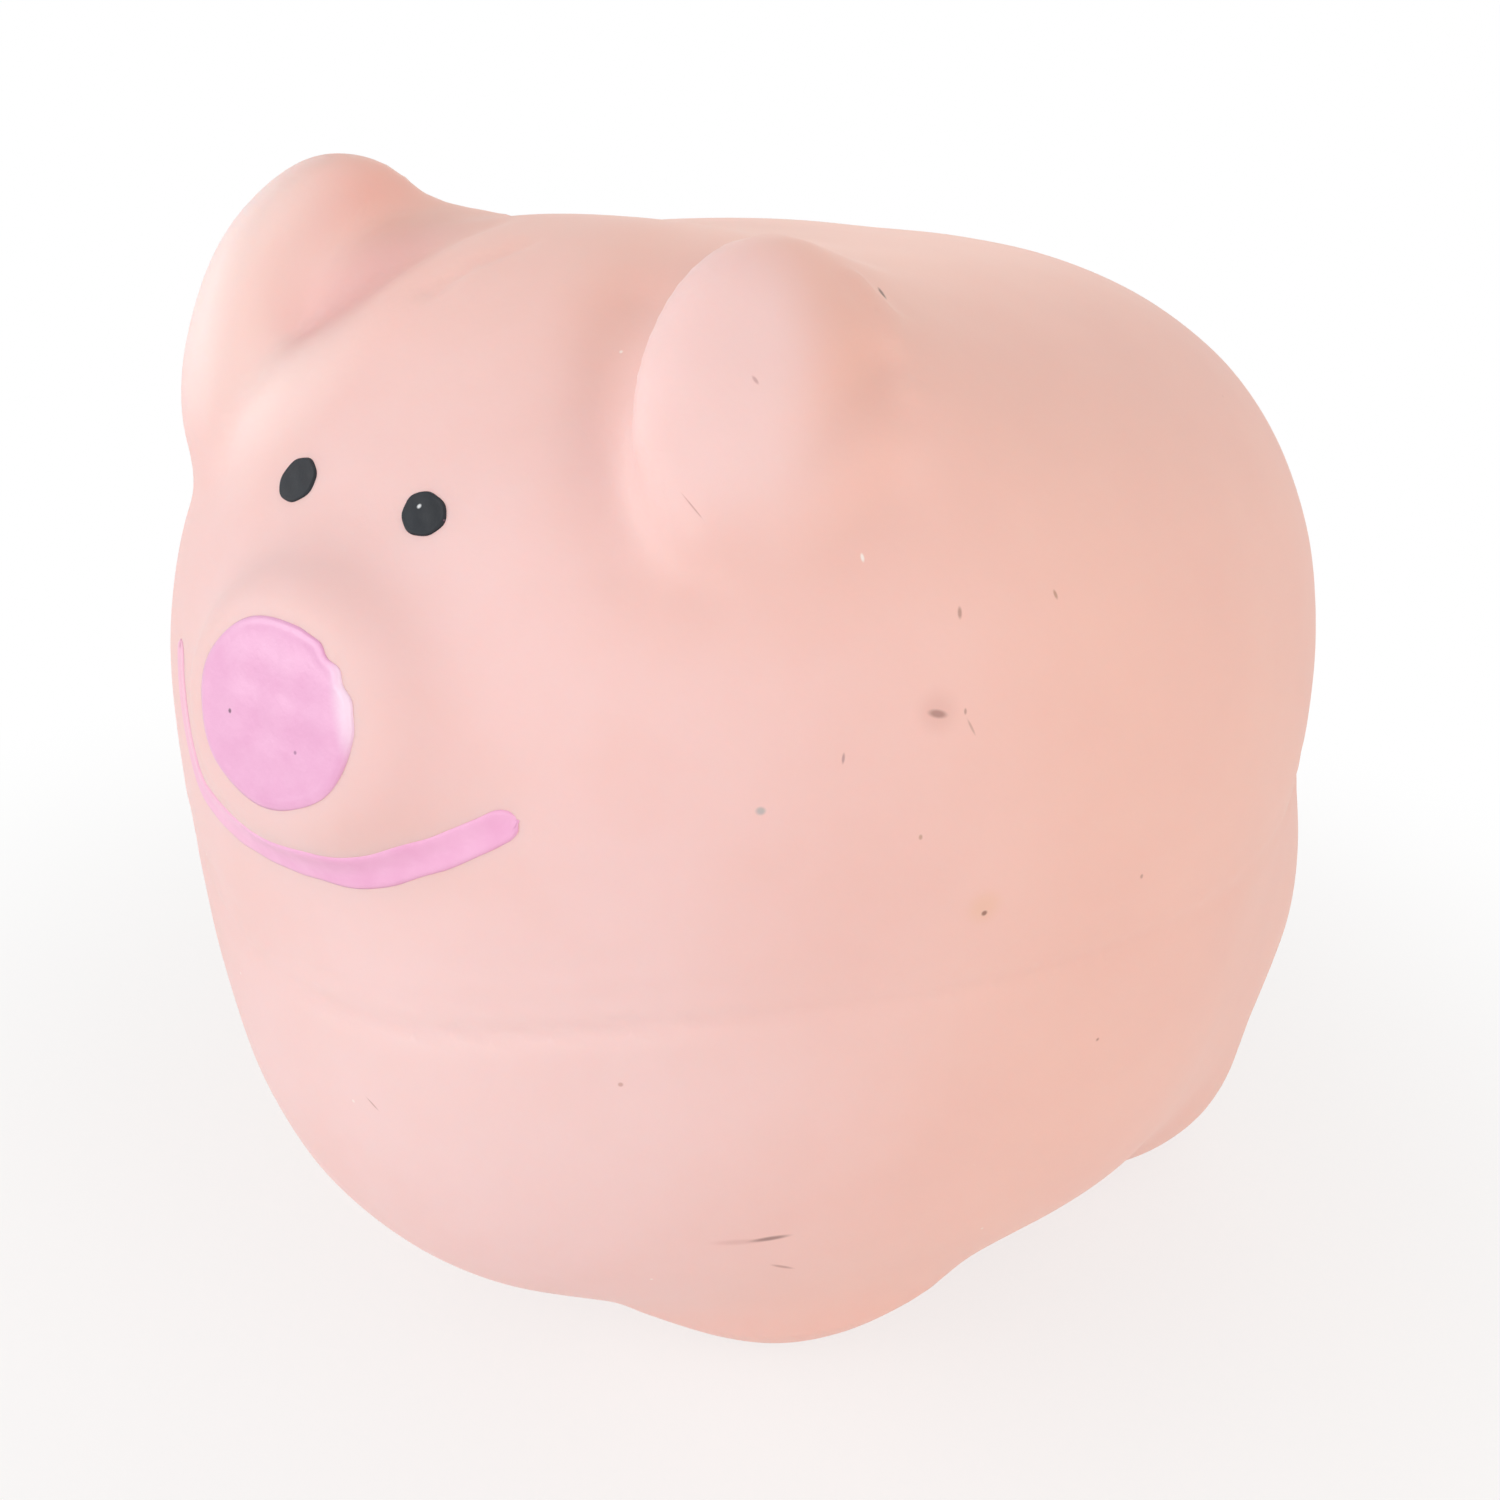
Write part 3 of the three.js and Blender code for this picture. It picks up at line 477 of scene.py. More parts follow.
def rounded(outline, radius, steps=4):
    """A closed outline with each corner eased by an arc-like curve."""
    outline = [np.array(q, float) for q in outline]
    eased = []
    for before, here, after in zip(outline[-1:] + outline[:-1], outline, outline[1:] + outline[:1]):
        a, b = before - here, after - here
        reach = min(radius, 0.45 * np.linalg.norm(a), 0.45 * np.linalg.norm(b))
        a, b = here + a / np.linalg.norm(a) * reach, here + b / np.linalg.norm(b) * reach
        for t in np.linspace(0, 1, steps):
            eased.append((1 - t) ** 2 * a + 2 * t * (1 - t) * here + t * t * b)
    return eased


# Materials

def srgb(hexcode):
    """An sRGB hex colour as linear values, opaque."""
    parts = [int(hexcode[i:i + 2], 16) / 255 for i in (1, 3, 5)]
    return (*[c / 12.92 if c <= 0.04045 else ((c + 0.055) / 1.055) ** 2.4 for c in parts], 1.0)


def add(tree, kind, inputs=None, **settings):
    """Adds a node, sets its options, and fills its inputs with values or with links from other nodes."""
    made = tree.nodes.new(kind)
    for key, value in settings.items():
        setattr(made, key, value)
    for key, value in (inputs or {}).items():
        socket = made.inputs[key]
        if isinstance(value, bpy.types.NodeSocket):
            tree.links.new(value, socket)
        else:
            socket.default_value = value
    return made


def finish_of(name, **constants):
    """A new material with its shader's constant values, its node tree, and its object coordinates."""
    material = bpy.data.materials.new(name)
    material.use_nodes = True
    tree = material.node_tree
    shader = tree.nodes["Principled BSDF"]
    for key, value in constants.items():
        shader.inputs[key.replace("_", " ")].default_value = value
    return material, tree, add(tree, "ShaderNodeTexCoord").outputs["Object"]


def finished(material, colour, rough, height, strength, depth=0.1):
    """Links a colour, a roughness where it varies, and a fine relief to a material; the depth is in millimetres."""
    tree = material.node_tree
    shader = tree.nodes["Principled BSDF"]
    bump = add(tree, "ShaderNodeBump", {"Height": height, "Strength": strength, "Distance": depth * MM})
    for key, value in (("Base Color", colour), ("Roughness", rough), ("Normal", bump.outputs[0])):
        if value is not None:
            tree.links.new(value, shader.inputs[key])
    return material


def mark(tree, place, start, end, reach, soft):
    """1 along a short line on the skin, fading over its soft edge: for scuffs, smudges and lint, and for painted shade
    and painted highlights.
    """
    start, end = Vector(start), Vector(end)
    run = end - start
    spot = add(tree, "ShaderNodeMapping", {
        "Vector": place,
        "Location": (start + end) / 2 * MM,
        "Rotation": run.to_track_quat("Y", "Z").to_euler(),
        "Scale": Vector((reach, reach + run.length / 2, reach)) * MM,
    }, vector_type="TEXTURE")
    far = add(tree, "ShaderNodeVectorMath", {0: spot.outputs[0]}, operation="LENGTH")
    return add(tree, "ShaderNodeMapRange", {
        "Value": far.outputs["Value"], "From Min": 1 - soft, "From Max": 1 + soft, "To Min": 1.0, "To Max": 0.0,
    }, interpolation_type="SMOOTHSTEP").outputs["Result"]


def specks(tree, place, spacing, radius, share, shift):
    """1 in tiny round specks, strewn with a spacing in millimetres; only a share of the places holds one."""
    moved = add(tree, "ShaderNodeVectorMath", {0: place, 1: (shift, 2 * shift, 3 * shift)}, operation="ADD")
    cells = add(tree, "ShaderNodeTexVoronoi", {"Vector": moved.outputs[0], "Scale": 1 / (spacing * MM)})
    dot = add(tree, "ShaderNodeMapRange", {
        "Value": cells.outputs["Distance"],
        "From Min": 0.6 * radius / spacing, "From Max": 1.2 * radius / spacing, "To Min": 1.0, "To Max": 0.0,
    })
    chosen = add(tree, "ShaderNodeSeparateColor", {"Color": cells.outputs["Color"]})
    kept = add(tree, "ShaderNodeMath", {0: chosen.outputs["Red"], 1: share}, operation="LESS_THAN")
    return add(tree, "ShaderNodeMath", {0: dot.outputs["Result"], 1: kept.outputs[0]}, operation="MULTIPLY").outputs[0]


def tint(tree, share, below, above):
    """A colour between two others."""
    return add(tree, "ShaderNodeMix", {"Factor": share, 6: below, 7: above}, data_type="RGBA").outputs[2]


def marked(tree, place, colour, marks):
    """A colour with marks laid over it."""
    for start, end, reach, hexcode, strength, soft in marks:
        there = mark(tree, place, start, end, reach, soft)
        weaker = add(tree, "ShaderNodeMath", {0: there, 1: strength}, operation="MULTIPLY")
        colour = tint(tree, weaker.outputs[0], colour, srgb(hexcode))
    return colour


def moulded_latex():
    """Dipped natural latex, tinted pink: matte and soft to the eye, a little light passes into it. Its face is drawn
    paler and pinker than its back, partly its own blush and partly painted light; painted light makes the ears paler
    and painted shade deepens the folds round them; and handling has left specks, a smudge and two scuffs on it."""
    material, tree, place = finish_of(
        "moulded_pink_latex", IOR=1.52, Subsurface_Weight=0.22, Subsurface_Radius=(1.0, 0.42, 0.30),
        Subsurface_Scale=0.0022, Sheen_Weight=0.12, Sheen_Roughness=0.5,
    )
    # Partly painted light: the face is drawn paler and pinker than the back, partly the latex's own blush, partly light
    # on the face and warm painted shade on the back
    axis = add(tree, "ShaderNodeSeparateXYZ", {"Vector": place})
    blush_and_painted_light = add(tree, "ShaderNodeMapRange", {
        "Value": axis.outputs["Y"], "From Min": -36 * MM, "From Max": -14 * MM, "To Min": 1.0, "To Max": 0.0,
    }, interpolation_type="SMOOTHSTEP")
    colour = tint(tree, blush_and_painted_light.outputs["Result"], srgb("#F4C6B9"), srgb("#F3CDCB"))
    # Mottling about 9 mm across, from uneven curing
    mottle = add(tree, "ShaderNodeTexNoise", {"Vector": place, "Scale": 1 / (9 * MM), "Detail": 3.0, "Roughness": 0.55})
    patch = add(tree, "ShaderNodeMapRange", {
        "Value": mottle.outputs["Fac"], "From Min": 0.35, "From Max": 0.7, "To Min": 0.0, "To Max": 0.35,
    })
    colour = tint(tree, patch.outputs["Result"], colour, srgb("#EDBBB0"))
    pale = specks(tree, place, 3.1, 0.10, 0.22, 0.011)
    colour = tint(tree, pale, colour, srgb("#FBEDE6"))
    dark = specks(tree, place, 5.2, 0.13, 0.16, 0.037)
    colour = tint(tree, dark, colour, srgb("#B98476"))
    # Painted shade in the folds round the ears and painted light on the ears, then the handling marks
    colour = marked(tree, place, colour, PAINTED_SHADE_AND_PALE_PATCHES + SCUFFS)
    # Handling polishes the skin in patches about 15 mm across
    rub = add(tree, "ShaderNodeTexNoise", {"Vector": place, "Scale": 1 / (15 * MM), "Detail": 2.0})
    rough = add(tree, "ShaderNodeMapRange", {"Value": rub.outputs["Fac"], "To Min": 0.50, "To Max": 0.66})
    # Orange peel of 1.6 mm under a grain of 0.35 mm, drawn a little coarser than life so that it shows
    peel = add(tree, "ShaderNodeTexNoise", {"Vector": place, "Scale": 1 / (1.6 * MM), "Detail": 2.0})
    grain = add(tree, "ShaderNodeTexNoise", {"Vector": place, "Scale": 1 / (0.35 * MM), "Detail": 2.0})
    both = add(tree, "ShaderNodeMix", {"Factor": 0.4, 2: peel.outputs["Fac"], 3: grain.outputs["Fac"]})
    return finished(material, colour, rough.outputs["Result"], both.outputs[0], 0.22)


# Marks on the skin and the paint: both ends of each, its reach, its colour, its strength and how soft its edge is.
# Painted light makes the ears paler, painted shade deepens the grooves, folds and hollows round them, and the lower
# chest is paler
PAINTED_SHADE_AND_PALE_PATCHES = (
    ((14.0, -24.0, 62.2), (16.0, -25.8, 57.9), 4.6, "#FBDAD9", 0.75, 0.5),
    ((-11.4, -27.2, 64.4), (-11.4, -29.9, 59.4), 5.0, "#FDE6E2", 0.8, 0.6),
    ((-10.4, -25.1, 59.9), (-8.7, -20.8, 63.1), 1.6, "#FFC6C6", 0.5, 0.9),
    ((15.5, -17.8, 62.6), (18.4, -22.3, 57.3), 2.2, "#F1BAA8", 0.45, 0.9),
    ((3.8, -17.5, 64.7), (7.0, -23.4, 61.3), 2.0, "#EEB6A4", 0.3, 0.8),
    ((16.8, -27.0, 53.1), (20.8, -22.6, 54.0), 2.8, "#F0BEB1", 0.4, 0.9),
    ((4.3, -37.0, 30.1), (11.8, -34.3, 28.0), 9.0, "#F8D9D8", 0.5, 0.9),
)
# Handling marks: smudges, dots of dirt, two scuffs on the chest, a hair and lint
SCUFFS = (
    ((24.37, -23.04, 47.78), (24.37, -23.04, 47.78), 0.75, "#DDAFA6", 0.4, 0.7),
    ((24.24, -23.22, 47.75), (24.53, -22.90, 47.66), 0.16, "#9A7068", 0.7, 0.5),
    ((25.15, -22.03, 47.76), (25.18, -22.06, 47.64), 0.06, "#A87F74", 0.65, 0.5),
    ((25.34, -22.01, 47.28), (25.61, -21.88, 46.77), 0.05, "#B58E83", 0.55, 0.5),
    ((23.94, -21.07, 51.69), (24.03, -21.16, 51.44), 0.09, "#A07A6E", 0.65, 0.5),
    ((26.35, -16.90, 51.96), (26.47, -16.90, 51.76), 0.08, "#AB8168", 0.65, 0.5),
    ((21.92, -26.38, 46.26), (21.94, -26.44, 45.97), 0.06, "#A07A80", 0.6, 0.5),
    ((24.70, -24.15, 42.46), (24.71, -24.15, 42.39), 0.08, "#B2896E", 0.6, 0.5),
    ((26.87, -21.47, 38.53), (26.87, -21.47, 38.53), 0.7, "#EDBFA0", 0.4, 0.7),
    ((26.87, -21.40, 38.18), (26.87, -21.40, 38.18), 0.13, "#7E5648", 0.8, 0.5),
    ((31.16, -13.34, 38.05), (31.16, -13.31, 37.99), 0.09, "#A67F70", 0.6, 0.5),
    ((19.66, -29.05, 43.98), (19.71, -29.01, 43.98), 0.16, "#A9AEAE", 0.7, 0.5),
    ((17.90, -27.90, 18.73), (19.20, -26.70, 18.70), 0.22, "#DBAAA4", 0.55, 0.7),
    ((19.21, -26.72, 18.74), (20.18, -25.83, 18.89), 0.17, "#85605B", 0.75, 0.6),
    ((19.35, -25.06, 15.88), (19.79, -24.27, 15.35), 0.12, "#B27E78", 0.65, 0.6),
    ((14.66, -28.15, 56.22), (15.43, -27.88, 55.37), 0.03, "#BE8A84", 0.6, 0.5),
    ((14.85, -13.78, 63.09), (15.30, -14.17, 62.86), 0.14, "#5E4034", 0.85, 0.5),
    ((15.23, -24.28, 60.45), (15.36, -24.24, 60.30), 0.08, "#B98E8E", 0.55, 0.5),
    ((3.00, -36.93, 26.08), (3.49, -36.83, 25.66), 0.05, "#B08379", 0.6, 0.5),
    ((20.30, -23.26, 53.79), (20.42, -23.35, 53.62), 0.07, "#FFF6F0", 0.8, 0.5),
)
# The nose paint has a painted highlight along one edge, and two pinholes
NOSE_HIGHLIGHT_AND_PINHOLES = (
    ((4.04, -37.07, 49.04), (5.06, -37.91, 46.24), 0.55, "#FBE6F5", 0.75, 0.9),
    ((-2.41, -38.20, 45.40), (-2.41, -38.20, 45.40), 0.1, "#4E2A44", 0.85, 0.5),
    ((2.03, -38.36, 44.73), (2.03, -38.36, 44.73), 0.08, "#8A5A80", 0.7, 0.5),
)
# The brush ran dry towards the pig's right, so the latex shows through the smile there
SMILE_MARKS = (
    ((-12.7, -33.4, 45.3), (-10.9, -34.9, 40.9), 1.6, "#F2C2CB", 0.55, 0.8),
    ((-10.9, -34.9, 40.9), (-5.1, -36.9, 38.3), 2.0, "#F2BCCD", 0.5, 0.9),
)
# A painted highlight: a small pale dot on the left eye
EYE_PAINTED_HIGHLIGHT = (((3.12, -31.59, 54.30), (3.12, -31.59, 54.30), 0.1, "#E8ECEF", 0.9, 0.5),)


def rubbed_paint(name, hexcode, deeper, roughness, gloss, marks):
    """Brushed flexible paint: glossier than the latex, laid on unevenly, with a few pinholes and the marks given,
    painted highlights among them.
    """
    material, tree, place = finish_of(name, IOR=1.45, Coat_Weight=gloss, Coat_Roughness=0.3)
    # Brush drag about 1.4 mm wide
    drag = add(tree, "ShaderNodeTexNoise", {"Vector": place, "Scale": 1 / (1.4 * MM), "Detail": 3.0})
    thick = add(tree, "ShaderNodeMapRange", {"Value": drag.outputs["Fac"], "From Min": 0.3, "From Max": 0.75})
    colour = tint(tree, thick.outputs["Result"], srgb(hexcode), srgb(deeper))
    holes = specks(tree, place, 1.5, 0.05, 0.2, 0.021)
    colour = marked(tree, place, tint(tree, holes, colour, srgb("#6A4A5C")), marks)
    rough = add(tree, "ShaderNodeMapRange", {
        "Value": drag.outputs["Fac"], "To Min": roughness - 0.08, "To Max": roughness + 0.1,
    })
    fine = add(tree, "ShaderNodeTexNoise", {"Vector": place, "Scale": 1 / (0.5 * MM), "Detail": 3.0})
    return finished(material, colour, rough.outputs["Result"], fine.outputs["Fac"], 0.35)


def loose_fibre():
    """Bleached polyester fibre: dull white, with painted shade for the hollows between its strands."""
    material, tree, place = finish_of(
        "loose_polyester_fibre", IOR=1.5, Roughness=0.9, Sheen_Weight=0.3, Sheen_Roughness=0.4,
    )
    # Painted shade: a noise darkens the fibre where it stands for hollows between the strands
    lay = add(tree, "ShaderNodeTexNoise", {"Vector": place, "Scale": 1 / (2.5 * MM), "Detail": 5.0, "Distortion": 1.5})
    depth = add(tree, "ShaderNodeMapRange", {"Value": lay.outputs["Fac"], "From Min": 0.3, "From Max": 0.65})
    colour = tint(tree, depth.outputs["Result"], srgb("#D9D5CC"), srgb("#F7F5F0"))
    # Strands 0.3 mm apart, coarser than real fibre so that they show
    strands = add(tree, "ShaderNodeTexWave", {
        "Vector": place, "Scale": 1 / (2 * math.pi * 0.3 * MM), "Distortion": 14.0, "Detail": 3.0, "Detail Scale": 0.6,
    })
    return finished(material, colour, None, strands.outputs["Fac"], 0.5, depth=0.3)


def moulded_plastic(name, hexcode, paler, roughness, see_through):
    """Thin moulded polymer: milky, faintly see-through, with flow marks and fine scratches."""
    material, tree, place = finish_of(name, IOR=1.5, Transmission_Weight=see_through)
    flow = add(tree, "ShaderNodeTexNoise", {"Vector": place, "Scale": 1 / (3 * MM), "Detail": 3.0, "Distortion": 1.0})
    colour = tint(tree, flow.outputs["Fac"], srgb(hexcode), srgb(paler))
    rough = add(tree, "ShaderNodeMapRange", {
        "Value": flow.outputs["Fac"], "To Min": roughness - 0.07, "To Max": roughness + 0.1,
    })
    fine = add(tree, "ShaderNodeTexNoise", {"Vector": place, "Scale": 1 / (0.4 * MM), "Detail": 2.0})
    return finished(material, colour, rough.outputs["Result"], fine.outputs["Fac"], 0.15)


latex = moulded_latex()
nose_pink = rubbed_paint("brushed_pink_paint", "#E8A7CF", "#EEB3D7", 0.36, 0.4, NOSE_HIGHLIGHT_AND_PINHOLES)
smile_pink = rubbed_paint("brushed_thin_pink_paint", "#EFACD4", "#F5B9DD", 0.42, 0.3, SMILE_MARKS)
eye_black = rubbed_paint("brushed_black_paint", "#10151C", "#1A2028", 0.62, 0.0, EYE_PAINTED_HIGHLIGHT)
fibre = loose_fibre()
bellows_plastic = moulded_plastic("blown_polyethylene", "#E3E7E8", "#F1F3F3", 0.42, 0.15)
whistle_plastic = moulded_plastic("moulded_polystyrene", "#CBD2D8", "#DCE2E6", 0.32, 0.0)
reed_film = moulded_plastic("polyester_film", "#B4BFC7", "#C9D2D8", 0.22, 0.3)


# Latex skin

def latex_skin():
    low, high = (-36, -41.5, -2), (36, 43, 69)
    points, quads = wrap(skin_distance, low, high, SKIN_CELL)
    points = settle(skin_distance, points)
    return piece("pig_skin", points, quads, latex)


def lay_on_skin(points, direction):
    """Where lines along a direction first meet the skin from outside, and the skin's slope there."""
    direction = np.array(direction, float)
    clear_of_skin, steps, pace = 25, 70, 0.7
    p = points + clear_of_skin * direction
    for _ in range(steps):
        p = p - pace * outer_distance(p)[..., None] * direction
    return p, slope(outer_distance, p)


def paint_film(name, points, direction, lift, material):
    """A thin film of paint over a grid of points: it stands a little proud of the skin and is rooted in it."""
    base, normal = lay_on_skin(points, direction)
    rows, columns = lift.shape
    top = (base + lift[..., None] * normal).reshape(-1, 3)
    root = (base - FILM_ROOT * normal).reshape(-1, 3)
    r, c = (a.ravel() for a in np.meshgrid(np.arange(rows - 1), np.arange(columns - 1), indexing="ij"))
    grid = np.stack((r * columns + c, (r + 1) * columns + c, (r + 1) * columns + c + 1, r * columns + c + 1), 1)
    rim = np.concatenate((
        np.arange(columns - 1),
        np.arange(rows - 1) * columns + columns - 1,
        rows * columns - 1 - np.arange(columns - 1),
        (rows - 1 - np.arange(rows - 1)) * columns,
    ))
    after = np.roll(rim, -1)
    under = rows * columns
    faces = np.concatenate((grid, grid[:, ::-1] + under, np.stack((rim, after, after + under, rim + under), 1)))
    made = piece(name, np.concatenate((top, root)), faces, material)
    face_outward(made)
    return made


def round_grid(count):
    """A square grid of points bent into a disc, with each point's distance from the middle and its angle."""
    u, v = np.meshgrid(np.linspace(-1, 1, count), np.linspace(-1, 1, count), indexing="ij")
    x, y = u * np.sqrt(1 - v * v / 2), v * np.sqrt(1 - u * u / 2)
    return x, y, np.hypot(x, y), np.arctan2(y, x)


def film_height(share, thickness):
    """Paint thins to nothing at its edge, just inside a faint bead."""
    return thickness * (np.sqrt(np.clip(1 - share ** 8, 0, 1)) + 0.35 * np.exp(-((share - 0.93) / 0.05) ** 2)) + 0.01


def nose_paint():
    """A disc of pink on the end of the snout, ragged where the brush left it."""
    x, y, share, angle = round_grid(61)
    ragged = np.exp(-((angle - 0.75) / 0.42) ** 2)
    edge = 1 + 0.012 * np.sin(3 * angle + 0.4) + 0.008 * np.sin(7 * angle) + ragged * 0.022 * np.sin(19 * angle)
    edge = edge - 0.02 * np.exp(-((angle - 0.95) / 0.12) ** 2)
    across = NOSE_ASIDE + NOSE_HALF_WIDTH * x * edge
    up = NOSE_HALF_HEIGHT * y * edge
    points = SNOUT_FRONT + across[..., None] * np.array((1, 0, 0)) + up[..., None] * SNOUT_UP
    brushed = 0.02 * np.sin(2.1 * across + 0.8 * np.sin(1.7 * up)) + 0.015 * np.sin(3.3 * up + 1.0)
    lift = film_height(share, NOSE_FILM) + brushed * (1 - share ** 4)
    return paint_film("nose_film", points, SNOUT_AXIS, lift, nose_pink)


def eye_paint(name, place, half_size, lean, phase):
    """An oval dab of black, wider than it is high, that leans a little."""
    x, y, share, angle = round_grid(25)
    edge = 1 + 0.018 * np.sin(3 * angle + phase) + 0.014 * np.sin(7 * angle + 2 * phase)
    u, v = half_size[0] * x * edge, half_size[1] * y * edge
    c, s = math.cos(math.radians(lean)), math.sin(math.radians(lean))
    points = np.stack((place[0] + c * u - s * v, np.full_like(x, -34.0), place[1] + s * u + c * v), -1)
    lift = film_height(share, EYE_FILM) + 0.02 * np.sin(5 * x + phase) * np.sin(6 * y) * (1 - share ** 4)
    return paint_film(name, points, (0, -1, 0), lift, eye_black)


def mouth_paint():
    """The smile, one stroke of the brush: thin where it starts on the pig's right, heavy in the middle."""
    line = smooth_line(SMILE, 161)
    along = np.gradient(line, axis=0)
    along /= np.linalg.norm(along, axis=1, keepdims=True)
    run = np.concatenate(((0,), np.cumsum(np.linalg.norm(np.diff(line, axis=0), axis=1))))
    t, s = run[:, None] / run[-1], np.linspace(-1, 1, 13)[None, :]
    to_end = np.minimum(run, run[-1] - run)[:, None] / (SMILE_STROKE / 2)
    round_end = np.sqrt(np.clip(1 - np.clip(1 - to_end, 0, 1) ** 2, 0.004, 1))
    heavy = 0.62 + 0.44 * np.clip((t - 0.25) / 0.35, 0, 1) - 0.24 * np.clip((t - 0.66) / 0.34, 0, 1)
    wobble = 0.03 * np.sin(38 * t + 2.0) + 0.02 * np.sin(71 * t)
    side = SMILE_STROKE / 2 * round_end * (s * heavy + wobble * np.abs(s))
    x = line[:, :1] - side * along[:, 1:]
    z = line[:, 1:] + side * along[:, :1]
    points = np.stack((x, np.full_like(x, -36.0), z), -1)
    share = np.maximum(np.abs(s), np.clip(1 - to_end, 0, 1) + 0 * s)
    return paint_film("smile_film", points, (0, -1, 0), film_height(share, SMILE_FILM), smile_pink)


# Filling

def strand_tree():
    """Loose strands lie on a wad: short bent fibres, strewn over its surface and turned along it."""
    tree = bpy.data.node_groups.new("loose strands", "GeometryNodeTree")
    tree.interface.new_socket("Wad", in_out="INPUT", socket_type="NodeSocketGeometry")
    sizes = {}
    for name, value in (
        ("Strands per square metre", STRANDS_PER_SQUARE_METRE), ("Strand length", STRAND_LENGTH * MM),
        ("Strand radius", STRAND_RADIUS * MM),
    ):
        socket = tree.interface.new_socket(name, in_out="INPUT", socket_type="NodeSocketFloat")
        socket.default_value = value
        sizes[name] = socket.identifier
    tree.interface.new_socket("Dressed wad", in_out="OUTPUT", socket_type="NodeSocketGeometry")
    given = add(tree, "NodeGroupInput").outputs
    strewn = add(tree, "GeometryNodeDistributePointsOnFaces", {
        "Mesh": given["Wad"], "Density": given["Strands per square metre"], "Seed": 7,
    })
    half = add(tree, "ShaderNodeMath", {0: given["Strand length"], 1: 0.5}, operation="MULTIPLY")
    bow = add(tree, "ShaderNodeMath", {0: given["Strand length"], 1: 0.22}, operation="MULTIPLY")
    left = add(tree, "ShaderNodeMath", {0: half.outputs[0], 1: -1.0}, operation="MULTIPLY")
    start = add(tree, "ShaderNodeCombineXYZ", {"X": left.outputs[0]})
    middle = add(tree, "ShaderNodeCombineXYZ", {"Y": bow.outputs[0], "Z": 0.0001})
    end = add(tree, "ShaderNodeCombineXYZ", {"X": half.outputs[0]})
    arc = add(tree, "GeometryNodeCurveQuadraticBezier", {
        "Resolution": 5, "Start": start.outputs[0], "Middle": middle.outputs[0], "End": end.outputs[0],
    })
    round_section = add(tree, "GeometryNodeCurvePrimitiveCircle", {"Resolution": 3, "Radius": given["Strand radius"]})
    strand = add(tree, "GeometryNodeCurveToMesh", {
        "Curve": arc.outputs[0], "Profile Curve": round_section.outputs[0], "Fill Caps": True,
    })
    spin = add(tree, "FunctionNodeRandomValue", {
        "Min": (0, 0, 0), "Max": (0, 0, 6.2832), "Seed": 3,
    }, data_type="FLOAT_VECTOR")
    turn = add(tree, "FunctionNodeRotateRotation", {
        "Rotation": strewn.outputs["Rotation"], "Rotate By": spin.outputs[0],
    }, rotation_space="LOCAL")
    placed = add(tree, "GeometryNodeInstanceOnPoints", {
        "Points": strewn.outputs["Points"], "Instance": strand.outputs[0], "Rotation": turn.outputs[0],
    })
    real = add(tree, "GeometryNodeRealizeInstances", {"Geometry": placed.outputs[0]})
    whole = add(tree, "GeometryNodeJoinGeometry")
    tree.links.new(given["Wad"], whole.inputs[0])
    tree.links.new(real.outputs[0], whole.inputs[0])
    dressed = add(tree, "GeometryNodeSetMaterial", {"Geometry": whole.outputs[0], "Material": fibre})
    add(tree, "NodeGroupOutput", {0: dressed.outputs[0]})
    return tree, sizes


def grown(made, tree, settings=None):
    """Gives an object the mesh that a node tree makes of it, and takes the tree off again."""
    modifier = made.modifiers.new("growth", "NODES")
    modifier.node_group = tree
    for key, value in (settings or {}).items():
        modifier[key] = value
    bpy.context.view_layer.update()
    mesh = bpy.data.meshes.new_from_object(made.evaluated_get(bpy.context.evaluated_depsgraph_get()))
    made.modifiers.remove(modifier)
    made.data = mesh
    return made


def filling(name, distance, low, high, strands):
    points, quads = wrap(distance, low, high, WAD_CELL)
    wad = piece(name, points, quads, fibre)
    tree, sizes = strands
    return grown(wad, tree, {sizes["Strand length"]: STRAND_LENGTH * MM})


# Squeaker

